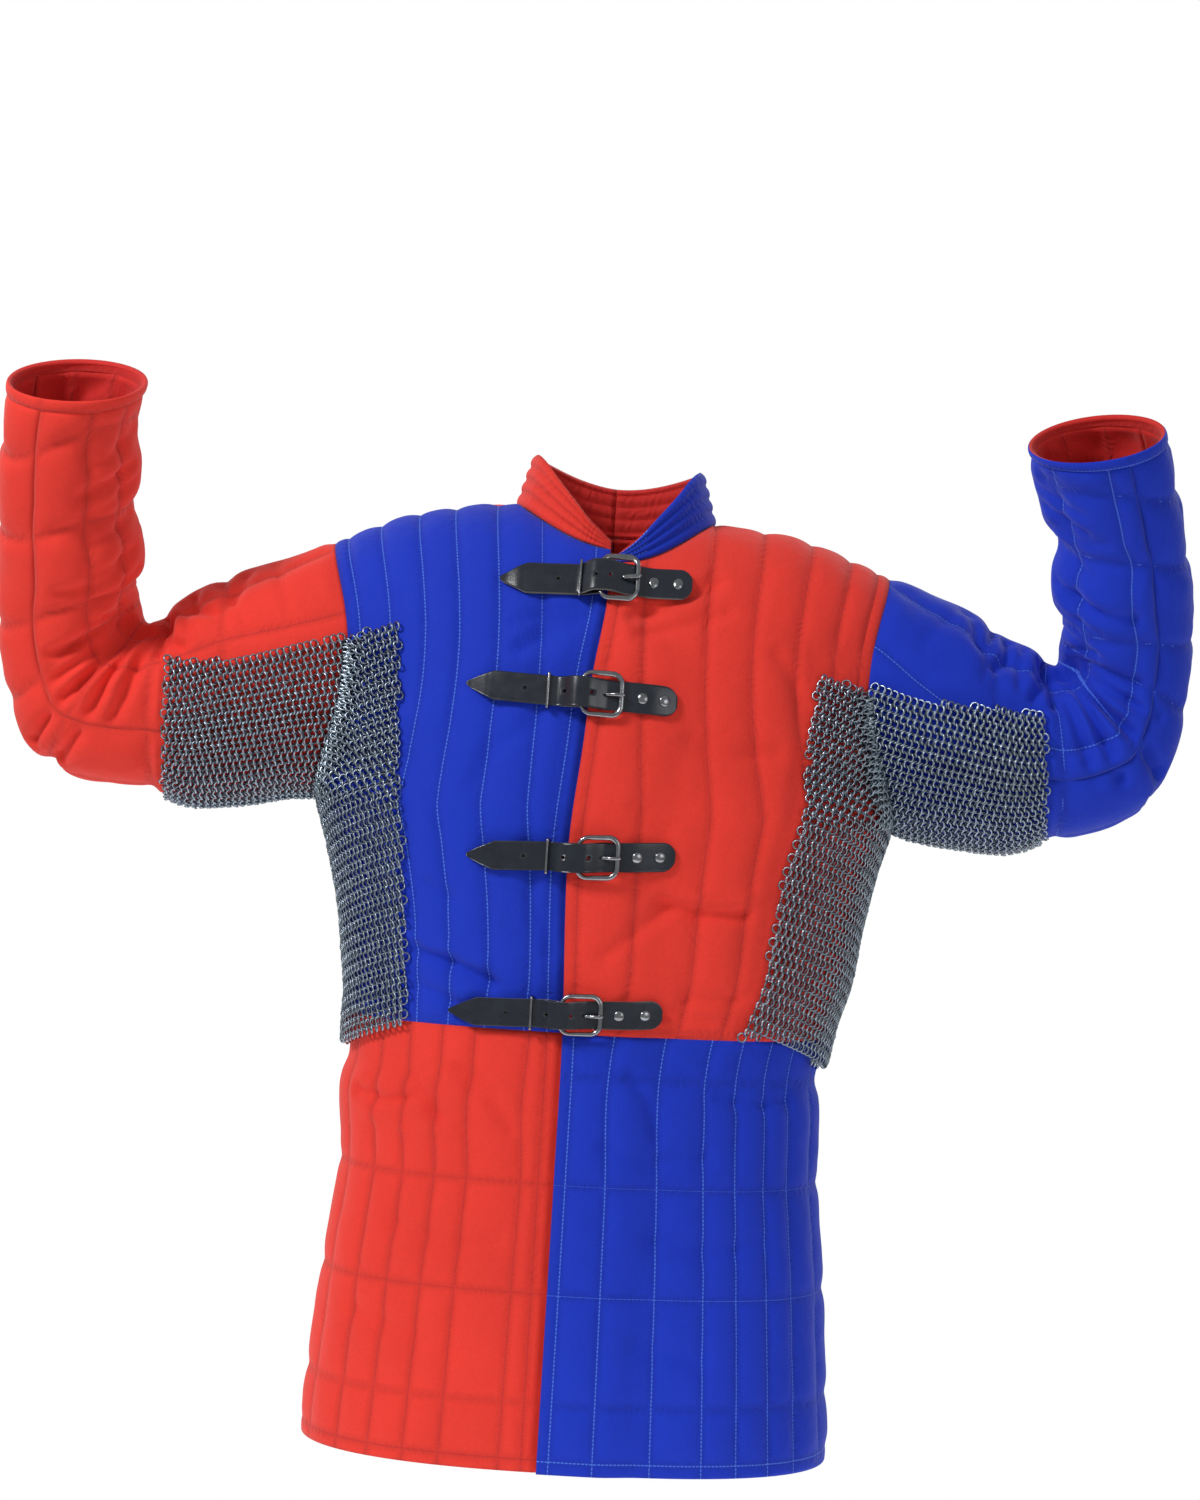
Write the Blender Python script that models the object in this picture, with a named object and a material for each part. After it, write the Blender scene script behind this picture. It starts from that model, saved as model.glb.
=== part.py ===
"""A quartered padded arming coat with mail under the arms, as it hangs on a wearer with raised forearms.

Millimetres in the tables, metres in the mesh. Z is up, the front faces -Y and the wearer's left is +X.
The origin is the middle of the neck's base, level with the shoulders.
"""
import math
from bisect import bisect

import bmesh
import bpy
from mathutils import Vector

for stale in list(bpy.data.objects):
    bpy.data.objects.remove(stale, do_unlink=True)

MM = 0.001
SEAM = 0.2  # each piece stands back this far from its seams
CLOTH = 5.0  # padded wall under a line of quilting
PUFF = 3.4  # how far a channel's middle rises over its stitch lines
LAP_RISE = 7.4  # how far the lapping front stands off the one below it
LAP = 46.0  # how far the front below reaches in under it
WAIST_Z, ARMPIT_Z, HEM_Z = -462.0, -265.0, -845.0
ROUND = 2.5  # exponent of the body's sections
SIDE_ROUND = 2.4  # exponent of a section that runs on into a sleeve
ARM_HALF = 88.0  # half of the armhole's depth from front to back
NECK_HALF = 90.0
RIGHT, LEFT = -1, 1
FRONT, BACK = -1, 1

COLOURS = {
    "red": (0.78, 0.045, 0.03),
    "blue": (0.012, 0.03, 0.55),
    "mail": (0.35, 0.40, 0.44),
    "leather": (0.02, 0.02, 0.022),
    "nickel": (0.62, 0.62, 0.6),
}


def table(names, *rows):
    """Columns by name; the first one is what the others are looked up by."""
    return {name: [row[i] for row in rows] for i, name in enumerate(names.split())}


# Body sections from the hem up to the shoulders
BODY = table(
    "z half shift front back",
    (HEM_Z, 240, 0, 153, 152),
    (-760, 233, 0, 149, 147),
    (-670, 225, 0, 145, 141),
    (-590, 216, 0, 140, 136),
    (-530, 217, -3, 139, 134),
    (-500, 213, -2, 136, 130),
    (WAIST_Z, 217, 1, 133, 126),
    (-415, 227, 6, 137, 127),
    (-360, 235, 6, 142, 130),
    (-310, 246, 5, 147, 133),
    (ARMPIT_Z, 258, 4, 150, 136),
    (-200, 258, 2, 150, 138),
    (-40, 255, -1, 150, 138),
)
# Line of the shoulders' top, from the wearer's right to the left
RIDGE = table(
    "x z",
    (-256, -37), (-232, -27), (-195, -11), (-166, -4), (-136, 2), (-92, 7),
    (90, -1), (110, -4), (161, -9), (195, -19), (227, -31), (254, -41),
)
# The lapping front's edge
EDGE = table("z x", (HEM_Z, -22), (-570, -21), (-460, -21), (-300, -25), (-204, -17), (-147, -13), (-80, -4), (-30, -3))
# Angles of the stitch lines, from the middle round to the side
LINES = {
    ("front", RIGHT): (10.7, 19.8, 29.7, 39.8, 53, 70),
    ("front", LEFT): (4.2, 16.3, 27.6, 40.9, 55.5, 71),
    ("back", RIGHT): (5, 15.85, 28, 41, 55.5, 72),
    ("back", LEFT): (5, 16.3, 28, 41, 55.5, 72),
    ("skirt_front", RIGHT): (9.4, 22, 31.1, 41.8, 53.9, 71),
    ("skirt_front", LEFT): (3.6, 13.9, 25.5, 34.9, 45.2, 55.9, 72),
    ("skirt_back", RIGHT): (10, 20, 31, 43, 56, 72),
    ("skirt_back", LEFT): (10, 20, 31, 43, 56, 72),
}
SKIRT_CROSS = (-500, -595, -690, -785)  # heights of the skirt's level stitch lines
NECK_TURN = {RIGHT: 15.85, LEFT: 16.3}  # the column at which the neckline meets the shoulder
NECK_DEPTH = {(FRONT, RIGHT): 87, (FRONT, LEFT): 97, (BACK, RIGHT): 75, (BACK, LEFT): 75}
SHOULDER_ROUND = {FRONT: 2.3, BACK: 3.0}
ARMHOLE_HOLLOW = {FRONT: 23.0, BACK: 11.0}  # how far the armhole's middle cuts in

# Largest creases of the body: a trough from one place to another
CREASES = table(
    "side x0 z0 x1 z1 width depth",
    (RIGHT, -135, -404, -85, -420, 14, 3.2),
    (LEFT, 60, -345, 125, -352, 14, 2.6),
    (LEFT, 20, -95, 95, -60, 13, 2.6),
    (RIGHT, -25, -90, -70, -125, 13, 2.4),
    (RIGHT, -160, -500, -95, -520, 14, 3.0),
    (RIGHT, -190, -535, -120, -548, 13, 2.6),
)

# Sleeve sections from the armhole to the cuff: ends of the section in the plane of the arms
SLEEVES = {
    RIGHT: table(
        "row inner_x inner_z outer_x outer_z y depth tilt",
        (1, 283, -51, 286, -267, 0, 87, 0),
        (2, 314, -63, 318, -274, 0, 84, 0),
        (3, 348, -75, 346, -278, 0, 80, 0),
        (4, 378, -91, 374, -280, 0, 75, 0),
        (5, 396, -104, 397, -274, 0, 71, 0),
        (6, 408, -113, 414, -268, 0, 70, 0),
        (7, 416, -118, 436, -266, 0, 69, 0),
        (8, 421, -120, 473, -263, 0, 69, 0),
        (9, 425, -119, 500, -254, 0, 69, 2),
        (10, 428, -116, 524, -237, -1, 68, 6),
        (11, 430, -111, 537, -209, -4, 66, 10),
        (12, 431, -104, 546, -177, -10, 64, 15),
        (13, 432, -96, 553, -140, -20, 62, 19),
        (14, 434, -86, 554, -104, -32, 60, 23),
        (15, 428, -68, 553, -77, -44, 61, 24),
        (16, 430, -42, 552, -49, -58, 61, 24),
        (17, 436, -23, 551, -29, -67, 59, 24),
        (18, 431, 5, 550, -2, -81, 60, 24),
        (19, 430, 25, 549, 17, -91, 60, 24),
        (20, 433, 50, 545, 45, -104, 59, 24),
        (21, 421, 88, 541, 87, -123, 60, 24),
    ),
    LEFT: table(
        "row inner_x inner_z outer_x outer_z y depth tilt",
        (1, 279, -52, 292, -274, 0, 87, 0),
        (2, 321, -66, 333, -279, 0, 84, 0),
        (3, 345, -80, 368, -281, 0, 80, 0),
        (4, 364, -92, 389, -277, 0, 75, 0),
        (5, 388, -101, 407, -269, 0, 71, 0),
        (6, 400, -107, 424, -267, 0, 70, 0),
        (7, 406, -110, 453, -259, 0, 69, 0),
        (8, 410, -111, 481, -246, 0, 69, 0),
        (9, 413, -109, 506, -227, 0, 69, 2),
        (10, 414, -105, 518, -194, -1, 67, 6),
        (11, 414, -99, 527, -158, -4, 65, 10),
        (12, 413, -92, 529, -125, -10, 63, 15),
        (13, 413, -83, 530, -92, -19, 61, 19),
        (14, 414, -72, 527, -64, -31, 59, 23),
        (15, 404, -52, 523, -38, -43, 61, 24),
        (16, 399, -27, 518, -19, -55, 61, 24),
        (17, 402, -3, 510, 4, -66, 58, 24),
        (18, 388, 17, 505, 21, -76, 60, 24),
        (19, 381, 33, 500, 38, -86, 60, 24),
        (20, 373, 52, 491, 62, -98, 60, 24),
        (21, 361, 76, 478, 100, -120, 60, 24),
    ),
}
CUFF_ROW = 20.72  # the sleeve ends here and the cuff's band goes on to the last row
SEAM_FRONT, SEAM_REAR = -111.0, 140.0  # angles of a sleeve's two seams
SLEEVE_LINES = {RIGHT: (-65, -30, 15, 60, 100), LEFT: (-91, -40, 14, 60, 102)}
UNDER_LINE = 188.0
SLEEVE_CROSS = (0, 3, 6, 9.5, 12, 14, 17, 20, 21)  # rows of the sleeves' cross stitching

# Mail: where its front edge lies round the body by height, and its top on the sleeve by row
MAIL_EDGE = {
    RIGHT: table("z angle", (-480, 42), (-440, 42), (-400, 42), (-350, 41.5), (-266, 39), (-180, 45), (-110, 49)),
    LEFT: table("z angle", (-480, 31), (-458, 32), (-415, 34), (-361, 35), (-290, 35.5), (-228, 40), (-175, 45), (-133, 48)),
}
MAIL_TOP = {RIGHT: (-108, -129), LEFT: (-132, -151)}  # at the front edge and at the armhole
MAIL_ARM = {
    RIGHT: table("row angle", (0, 78), (1, 78), (3, 75), (5, 64), (6, 60)),
    LEFT: table("row angle", (0, 84), (1, 84), (3, 75), (5, 70), (6, 68)),
}
MAIL_ROWS = 5  # rows of the sleeve that it covers
MAIL_IN, MAIL_OUT = 2.0, 5.0

# Collar height by angle from the middle of the front
COLLAR = table("angle height lean", (0, 5, 0), (12, 18, 3), (25, 33, 7), (40, 43, 11), (60, 50, 15), (90, 50, 16), (135, 48, 13), (180, 46, 10))
COLLAR_LINES = (0.0, 0.27, 0.52, 0.77, 1.0)

# Closures: height at the middle, slope, and places along the strap
CLOSURES = table(
    "number z slope tip keeper bar rivet_a rivet_b end",
    (1, -66, 0.018, -103, -30, -12, 37, 59, 72),
    (2, -165, -0.043, -121, -50, -21, 31, 50, 61),
    (3, -305, 0.043, -113, -43, -16, 35, 55, 68),
    (4, -444, 0.039, -121, -49, -23, 27, 50, 65),
)
STRAP_HALF, STRAP_THICK = 12.7, 2.6
TAB_THICK = 2.4
WIRE = 2.4  # half of the buckle's thickness


def track(rows, column, x):
    """A smooth curve through one column of a table."""
    keys, values = list(rows.values())[0], rows[column]
    x = min(max(x, keys[0]), keys[-1])
    i = min(max(bisect(keys, x) - 1, 0), len(keys) - 2)

    def slope(j):
        a, b = max(j - 1, 0), min(j + 1, len(keys) - 1)
        return (values[b] - values[a]) / (keys[b] - keys[a])

    gap = keys[i + 1] - keys[i]
    s = (x - keys[i]) / gap
    return (
        values[i] * (1 + 2 * s) * (1 - s) ** 2
        + values[i + 1] * s * s * (3 - 2 * s)
        + gap * (slope(i) * s * (1 - s) ** 2 - slope(i + 1) * s * s * (1 - s))
    )


def ease(x):
    x = min(max(x, 0.0), 1.0)
    return x * x * (3 - 2 * x)


def power(x, p):
    return math.copysign(abs(x) ** p, x)


def armhole_x(face, h):
    """How far in the armhole cuts at the height h, from 0 at the armpit to 1 at the shoulder."""
    return -4 * h - ARMHOLE_HOLLOW[face] * math.sin(math.pi * min(max(h, 0), 1)) ** 1.2


def body(side, face, t, g):
    """The body's surface: t goes round from the middle to the side; g is millimetres under the armpit's
    height where it is negative, and above that the angle up over the shoulder."""
    across = power(math.sin(math.radians(t)), 2 / ROUND)
    deep = max(math.cos(math.radians(t)), 0.0) ** (2 / ROUND)
    column = "front" if face == FRONT else "back"
    if g <= 0:
        z = ARMPIT_Z + g
        x = track(BODY, "shift", z) + side * track(BODY, "half", z) * across
        return Vector((x, face * track(BODY, column, z) * deep, z))
    up = SHOULDER_ROUND[face]
    h = math.sin(math.radians(min(g, 90))) ** (2 / up)
    z = ARMPIT_Z + h * (-38 - ARMPIT_Z)
    x = track(BODY, "shift", z) + side * (track(BODY, "half", ARMPIT_Z) + armhole_x(face, h)) * across
    z = ARMPIT_Z + h * (track(RIDGE, "z", x) - ARMPIT_Z)
    flat = ease(h / 0.4)
    reach = (1 - flat) * deep + flat * (1 - abs(across) ** SIDE_ROUND)
    arm = ARM_HALF * math.sqrt(max(1 - (2 * h - 1) ** 2, 0))
    arm *= abs(across) ** 14 * (1 - ease(h / 0.3)) + ease(h / 0.3)
    middle = track(BODY, column, ARMPIT_Z) * max(1 - h**up, 0) ** (1 / up)
    return Vector((x, face * (arm * (1 - reach) + middle * reach), z))


def body_normal(side, face, t, g):
    ta, tb = min(t + 0.4, 90), t - 0.4
    ga, gb = min(g + 1.0, 90), g - 1.0
    along = body(side, face, ta, g) - body(side, face, tb, g)
    up = body(side, face, t, ga) - body(side, face, t, gb)
    n = along.cross(up) * (-side * face)
    if n.length < 1e-9:
        n = Vector((side, 0, 0))
    return n.normalized()


def angle_at(side, face, z, x):
    """The angle t at which the body's section at the height z is at x, below or above the armpit."""
    g = z - ARMPIT_Z
    half = track(BODY, "half", z) if g <= 0 else track(BODY, "half", ARMPIT_Z) + armhole_x(face, g / 227)
    q = side * (x - track(BODY, "shift", z)) / half
    q = min(max(q, -1), 1)
    return math.degrees(math.asin(power(q, ROUND / 2)))


def climb(side, face, t, height):
    """The angle g at which the column t comes to a height above the armpit."""
    low, high = 0.0, 90.0
    for _ in range(30):
        mid = (low + high) / 2
        if body(side, face, t, mid).z < height:
            low = mid
        else:
            high = mid
    return (low + high) / 2


def neck(side, face, t):
    """The angle g at which the column t meets the neckline, or 90 past the neck."""
    low, high = 30.0, 90.0
    for _ in range(34):
        mid = (low + high) / 2
        p = body(side, face, t, mid)
        if abs(p.x) >= NECK_HALF:
            inside = False
        else:
            inside = abs(p.y) < NECK_DEPTH[face, side] * math.sqrt(1 - (p.x / NECK_HALF) ** 2)
        if inside:
            high = mid
        else:
            low = mid
    return 90.0 if high > 89.9 else high


def channel(t, lines):
    """1 in the middle of a quilted channel and 0 on its stitch lines."""
    i = bisect(lines, t)
    if i == 0 or i == len(lines):
        return 0.0
    f = (t - lines[i - 1]) / (lines[i] - lines[i - 1])
    return 1 - abs(2 * f - 1) ** 2.4


RING = [22.5 * k for k in range(9)]  # angles round an armhole from its top, which every piece at it uses


def climb_share(face, angle):
    """The part of the way over the shoulder at which a row ends at this angle of the armhole."""
    h = (1 + math.cos(math.radians(angle))) / 2
    return math.degrees(math.asin(min(h ** (SHOULDER_ROUND[face] / 2), 1))) / 90


def stops_of(kind, side, neckline=False):
    """Angles of a panel's columns: its stitch lines, the channels' middles and those the neckline needs."""
    lines = LINES[kind, side]
    stops = [lines[0]]
    for a, b in zip(lines, lines[1:] + (90,)):
        stops += [(a + b) / 2, b] if b - a > 5.5 else [b]
    if neckline:
        stops = sorted({t for t in stops if not 12 < t < 15.8} | {13.2, 15.1, NECK_TURN[side]})
    return stops


def front_start(side, z):
    """The angle of a front's free edge at a height."""
    x = track(EDGE, "x", z) if side == LEFT else under_edge(z)
    return angle_at(side, FRONT, z, x)


def clear_of_lap(z):
    """The angle at which the front below comes clear of the lapping edge."""
    return angle_at(RIGHT, FRONT, z, track(EDGE, "x", z) - 9)


def under_edge(z):
    """The hidden edge of the front below."""
    return track(EDGE, "x", z) - 0.8 + LAP * ease((-84 - z) / 60)


def lap_rise(x, z):
    """How far the lapping front stands off, over and past the other's edge."""
    return LAP_RISE * ease((-38 - z) / 34) * (1 - ease((x - under_edge(z) - 4) / 42))


def crease(side, p):
    """Depth of the large creases at a place on the body's front."""
    depth = 0.0
    for i, s in enumerate(CREASES["side"]):
        if s != side:
            continue
        a = Vector((CREASES["x0"][i], CREASES["z0"][i]))
        b = Vector((CREASES["x1"][i], CREASES["z1"][i]))
        q = Vector((p.x, p.z))
        f = (q - a).dot(b - a) / (b - a).length_squared
        away = (q - a - (b - a) * min(max(f, 0), 1)).length
        depth += CREASES["depth"][i] * math.exp(-((away / CREASES["width"][i]) ** 2))
    return depth


def under_mail(side, t, z):
    """0 under the mail and 1 clear of it."""
    top = MAIL_TOP[side][0] + 14
    if z > top + 20:
        return 1.0
    return max(ease((track(MAIL_EDGE[side], "angle", z) - 1 - t) / 5), ease((z - top) / 20))


MATERIALS = {}
for colour, rgb in COLOURS.items():
    material = bpy.data.materials.new(colour)
    material.use_nodes = True
    shader = material.node_tree.nodes["Principled BSDF"]
    shader.inputs["Base Color"].default_value = (*rgb, 1)
    shader.inputs["Roughness"].default_value = 0.3 if colour in ("nickel", "mail") else 0.8
    shader.inputs["Metallic"].default_value = 1.0 if colour in ("nickel", "mail") else 0.0
    MATERIALS[colour] = material

coat = bpy.data.collections.new("gambeson")
bpy.context.scene.collection.children.link(coat)


def add(name, bm, colour):
    """Finish a mesh as one of the coat's named solids."""
    bmesh.ops.recalc_face_normals(bm, faces=bm.faces)
    if bm.calc_volume(signed=True) < 0:
        bmesh.ops.reverse_faces(bm, faces=bm.faces)
    mesh = bpy.data.meshes.new(name)
    bm.to_mesh(mesh)
    bm.free()
    obj = bpy.data.objects.new(name, mesh)
    own = MATERIALS[colour].copy()
    own.name = f"{colour}_{name}"
    mesh.materials.append(own)
    coat.objects.link(obj)
    return obj


def wall(name, columns, rows, point, colour, closed=False):
    """A closed wall from a grid and its extrusion; point(column, row, outside) gives each place in mm."""
    bm = bmesh.new()
    bmesh.ops.create_grid(bm, x_segments=columns, y_segments=rows, size=0.5)
    lower = list(bm.verts)
    made = bmesh.ops.extrude_face_region(bm, geom=list(bm.faces))
    upper = [v for v in made["geom"] if isinstance(v, bmesh.types.BMVert)]
    for verts, outside in ((lower, False), (upper, True)):
        for v in verts:
            i, j = round((v.co.x + 0.5) * columns), round((v.co.y + 0.5) * rows)
            v.co = Vector(point(i, j, outside)) * MM
    if closed:
        bmesh.ops.delete(
            bm,
            geom=[
                f
                for f in bm.faces
                if all(
                    min((v.co - Vector(point(0, j, o)) * MM).length for j in range(rows + 1) for o in (False, True)) < 1e-7
                    for v in f.verts
                )
            ],
            context="FACES",
        )
        bmesh.ops.remove_doubles(bm, verts=bm.verts, dist=1e-6)
    return add(name, bm, colour)


def torso_panel(name, side, face, colour):
    """A front or back from the waist to the neckline, shoulder and armhole."""
    kind = "front" if face == FRONT else "back"
    lines = LINES[kind, side]
    stops = stops_of(kind, side, neckline=True)
    heights = (0, 38, 76, 116, 156, 197)
    low = len(heights) - 1
    top = low + 8
    starts = 1 if side == LEFT or face == BACK else 2

    def start_at(z, i):
        if face == BACK:
            return 0.0
        return front_start(side, z) if i == 0 else clear_of_lap(z)

    def place(i, j):
        t = stops[i - starts] if i >= starts else None
        if j <= low:
            z = WAIST_Z + heights[j]
            return (start_at(z, i) if t is None else t), z - ARMPIT_Z
        share = climb_share(face, RING[8 - (j - low)])
        if t is None:
            t = start_at(ARMPIT_Z, i)
            for _ in range(6):
                t = start_at(body(side, face, t, neck(side, face, t) * share).z, i)
        return t, neck(side, face, t) * share

    def point(i, j, outside):
        t, g = place(i, j)
        p, n = body(side, face, t, g), body_normal(side, face, t, g)
        begin = start_at(p.z, starts - 1)
        if outside:
            rise = PUFF * channel(t, [begin] + [s for s in lines if s > begin + 1] + [90])
            rise *= 0.3 + 0.7 * under_mail(side, t, p.z)
            if face == FRONT:
                rise -= crease(side, p)
            if j in (0, top) or i < starts:
                rise = 0
            if face == FRONT and side == RIGHT and i < starts:
                rise = -1.2 * ease((-80 - p.z) / 20)
        else:
            if j == 0:
                n = Vector((n.x, n.y, 0)).normalized()
            if j == top and g > 89.9 or t >= 90 and g <= 0:
                n = Vector((n.x, 0, n.z)).normalized()
            rise = -CLOTH
        if face == FRONT and side == LEFT:
            rise += lap_rise(p.x, p.z)
        return p + n * rise + Vector((side * SEAM, face * SEAM, 0))

    return wall(name, len(stops) + starts - 1, top, point, colour)


def skirt_panel(name, side, face, colour):
    """A quarter of the skirt, from the waist to the hem."""
    kind = "skirt_front" if face == FRONT else "skirt_back"
    lines = LINES[kind, side]
    stops = stops_of(kind, side)
    heights = [WAIST_Z - 2 * SEAM, -481, -500, -524, -548, -572, -595, -643, -690, -738, -785, -815, HEM_Z]
    starts = 1 if side == LEFT and face == FRONT else 2

    def point(i, j, outside):
        z = heights[j]
        begin = 0.0 if face == BACK else front_start(side, z)
        if i >= starts:
            t = stops[i - starts]
        elif i == 0:
            t = begin
        else:
            t = stops[0] / 2 if face == BACK else clear_of_lap(z)
        if side == RIGHT and face == FRONT:
            begin = clear_of_lap(z)
        g = z - ARMPIT_Z
        p, n = body(side, face, t, g), body_normal(side, face, t, g)
        if outside:
            rise = PUFF * channel(t, [begin] + list(lines) + [90])
            rise *= 0 if z in SKIRT_CROSS or j in (0, len(heights) - 1) else 1
            rise *= 0.3 + 0.7 * max(1 - ease((t - 28) / 10), ease((-500 - z) / 18))
            if face == FRONT and 0 < j < len(heights) - 1:
                rise -= crease(side, p)
            if face == FRONT and i < starts:
                rise = 0
        else:
            if j == 0:
                n = Vector((n.x, n.y, 0)).normalized()
            if t >= 90:
                n = Vector((n.x, 0, n.z)).normalized()
            rise = -CLOTH
        if face == FRONT and side == LEFT:
            rise += lap_rise(p.x, z)
        return p + n * rise + Vector((side * SEAM, face * SEAM, 0))

    return wall(name, len(stops) + starts - 1, len(heights) - 1, point, colour)


def arm(side, angle, row):
    """The sleeve's surface: the angle is 0 at the inner or upper end of a section, 180 at the outer or
    lower end and negative at the front."""
    rows = SLEEVES[side]
    r = math.radians(angle)
    c, s = math.cos(r), math.sin(r)

    def ends(k):
        if k == 0:
            a, b = body(side, FRONT, 90, 90), body(side, FRONT, 90, 0)
            return (a.x, a.z, b.x, b.z, 0, ARM_HALF, 0)
        i = k - 1
        return (
            side * rows["inner_x"][i], rows["inner_z"][i], side * rows["outer_x"][i], rows["outer_z"][i],
            rows["y"][i], rows["depth"][i], rows["tilt"][i],
        )

    last = len(rows["row"])
    row = min(max(row, 0), last)
    k = min(int(row), last - 1)
    f = row - k
    p0, p1, p2, p3 = ends(max(k - 1, 0)), ends(k), ends(k + 1), ends(min(k + 2, last))
    v = [
        b * (1 + 2 * f) * (1 - f) ** 2
        + d * f * f * (3 - 2 * f)
        + 0.5 * ((d - a) * f * (1 - f) ** 2 - (e - b) * f * f * (1 - f))
        for a, b, d, e in zip(p0, p1, p2, p3)
    ]
    inner, outer = Vector((v[0], 0, v[1])), Vector((v[2], 0, v[3]))
    middle = (inner + outer) / 2 + Vector((0, v[4], 0))
    tilt = math.radians(v[6])
    across = Vector((0, math.cos(tilt), math.sin(tilt))) * v[5]
    p = middle + (inner - outer) / 2 * c + across * s
    if row < 5:
        face = FRONT if s < 0 else BACK
        h = (1 + c) / 2
        start = ends(0)
        plain = Vector((start[0] + (start[2] - start[0]) * (1 - h), ARM_HALF * s, start[1] + (start[3] - start[1]) * (1 - h)))
        loop = body(side, face, 90, 90 * climb_share(face, angle))
        p += (loop - plain) * (1 - row / 5) ** 1.5
    return p


def arm_normal(side, angle, row):
    ra, rb = min(row + 0.06, 21), max(row - 0.06, 0)
    along = arm(side, angle + 1.5, row) - arm(side, angle - 1.5, row)
    out = arm(side, angle, ra) - arm(side, angle, rb)
    return (along.cross(out) * -side).normalized()


def sleeve_angles(side):
    """Angles of a sleeve's columns from its front seam round: at the armhole and from its third row on."""
    lines = SLEEVE_LINES[side]
    run = [SEAM_FRONT]
    for a, b in zip((SEAM_FRONT,) + lines[:4], lines):
        run += [(a + b) / 2, b]
    run += [SEAM_REAR, 164, UNDER_LINE, 205, 221, SEAM_FRONT + 360]
    return list(zip([-112.5 + 22.5 * k for k in range(17)], run))


def sleeve_angle(pair, row):
    return pair[0] + (pair[1] - pair[0]) * ease(row / 3)


def sleeve_part(name, side, first, last, lines, colour):
    """One of a sleeve's two pieces, between two of its columns."""
    pairs = sleeve_angles(side)[first : last + 1]
    rows = list(range(21)) + [CUFF_ROW]

    def point(i, j, outside):
        row = rows[j]
        angle = sleeve_angle(pairs[i], row)
        p, n = arm(side, angle, row), arm_normal(side, angle, row)
        if outside:
            rise = PUFF * 1.2 * channel(pairs[i][1], [pairs[0][1], *lines, pairs[-1][1]]) * channel(row, SLEEVE_CROSS)
            turned = abs((angle + 180) % 360 - 180)
            covered = ease((turned - track(MAIL_ARM[side], "angle", row) + 12) / 10) * (row < MAIL_ROWS + 0.3)
            rise *= 1 - 0.75 * covered
            if 6 < row < 14:
                rise *= ease((turned - 25) / 40)
        else:
            rise = -CLOTH
            if row == 0:
                n = Vector((0, n.y, n.z)).normalized()
        edge = Vector((0, 0, 0))
        if i in (0, len(pairs) - 1):
            along = (arm(side, angle + 1, row) - arm(side, angle - 1, row)).normalized()
            edge = along * (SEAM if i == 0 else -SEAM)
        return p + n * rise + edge + Vector((side * 3 * SEAM, 0, 0))

    return wall(name, len(pairs) - 1, len(rows) - 1, point, colour)


def cuff(name, side, colour):
    """The turned band at the end of a sleeve."""
    rows = (CUFF_ROW, 20.86, 21)
    angles = [b for a, b in sleeve_angles(side)]
    gap = (arm(side, 90, 21) - arm(side, 90, 20)).normalized() * 3 * SEAM

    def point(i, j, outside):
        angle, row = angles[i], rows[j]
        p, n = arm(side, angle, row), arm_normal(side, angle, row)
        rise = (1.0, 2.2, 0.6)[j] if outside else -CLOTH
        return p + n * rise + gap + Vector((side * 3 * SEAM, 0, 0))

    return wall(name, len(angles) - 1, len(rows) - 1, point, colour, closed=True)


def collar_point(side, face, t, up):
    """The collar's surface, over the place where the column t meets the neckline, and 0 to 1 up it."""
    foot = body(side, face, t, neck(side, face, t))
    angle = math.degrees(math.atan2(max(side * foot.x, 0) / NECK_HALF, -foot.y / NECK_DEPTH[face, side]))
    r = math.radians(angle)
    height, lean = track(COLLAR, "height", angle), math.radians(track(COLLAR, "lean", angle))
    out = Vector((side * math.sin(r), -math.cos(r), 0))
    return foot + (Vector((0, 0, math.cos(lean))) - out * math.sin(lean)) * height * up, out, angle


def collar(name, side, colour):
    """Half of the stand collar, in four channels."""
    fronts = [t for t in stops_of("front", side, neckline=True) if t <= NECK_TURN[side]]
    backs = [t for t in stops_of("back", side, neckline=True) if t <= NECK_TURN[side]]
    first = angle_at(side, FRONT, -30, track(EDGE, "x", -30) - (0.8 if side == RIGHT else 0))
    places = [(FRONT, first)]
    if side == RIGHT:
        places.append((FRONT, clear_of_lap(-30)))
    places += [(FRONT, t) for t in fronts] + [(BACK, t) for t in backs[-2::-1]] + [(BACK, 0.0)]
    ups = []
    for a, b in zip(COLLAR_LINES, COLLAR_LINES[1:]):
        ups += [a, (a + b) / 2]
    ups.append(1.0)

    def point(i, j, outside):
        face, t = places[i]
        p, out, angle = collar_point(side, face, t, ups[j])
        rise = 2.6 * channel(ups[j], COLLAR_LINES) * ease(angle / 14) if outside else -CLOTH
        return p + out * rise + Vector((side * SEAM, 0, 3 * SEAM))

    return wall(name, len(places) - 1, len(ups) - 1, point, colour)


def mitre(side, face, g):
    """The direction that stands off both the body and the sleeve at the armhole."""
    h = math.sin(math.radians(g)) ** (2 / SHOULDER_ROUND[face])
    angle = face * math.degrees(math.acos(2 * h - 1))
    a, b = body_normal(side, face, 90, g), arm_normal(side, angle, 0)
    return (a + b) / (1 + a.dot(b))


def mail_bottom(side, t):
    return (-465 if side == RIGHT else -461) - 26 * ease((t - 40) / 34)


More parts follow.
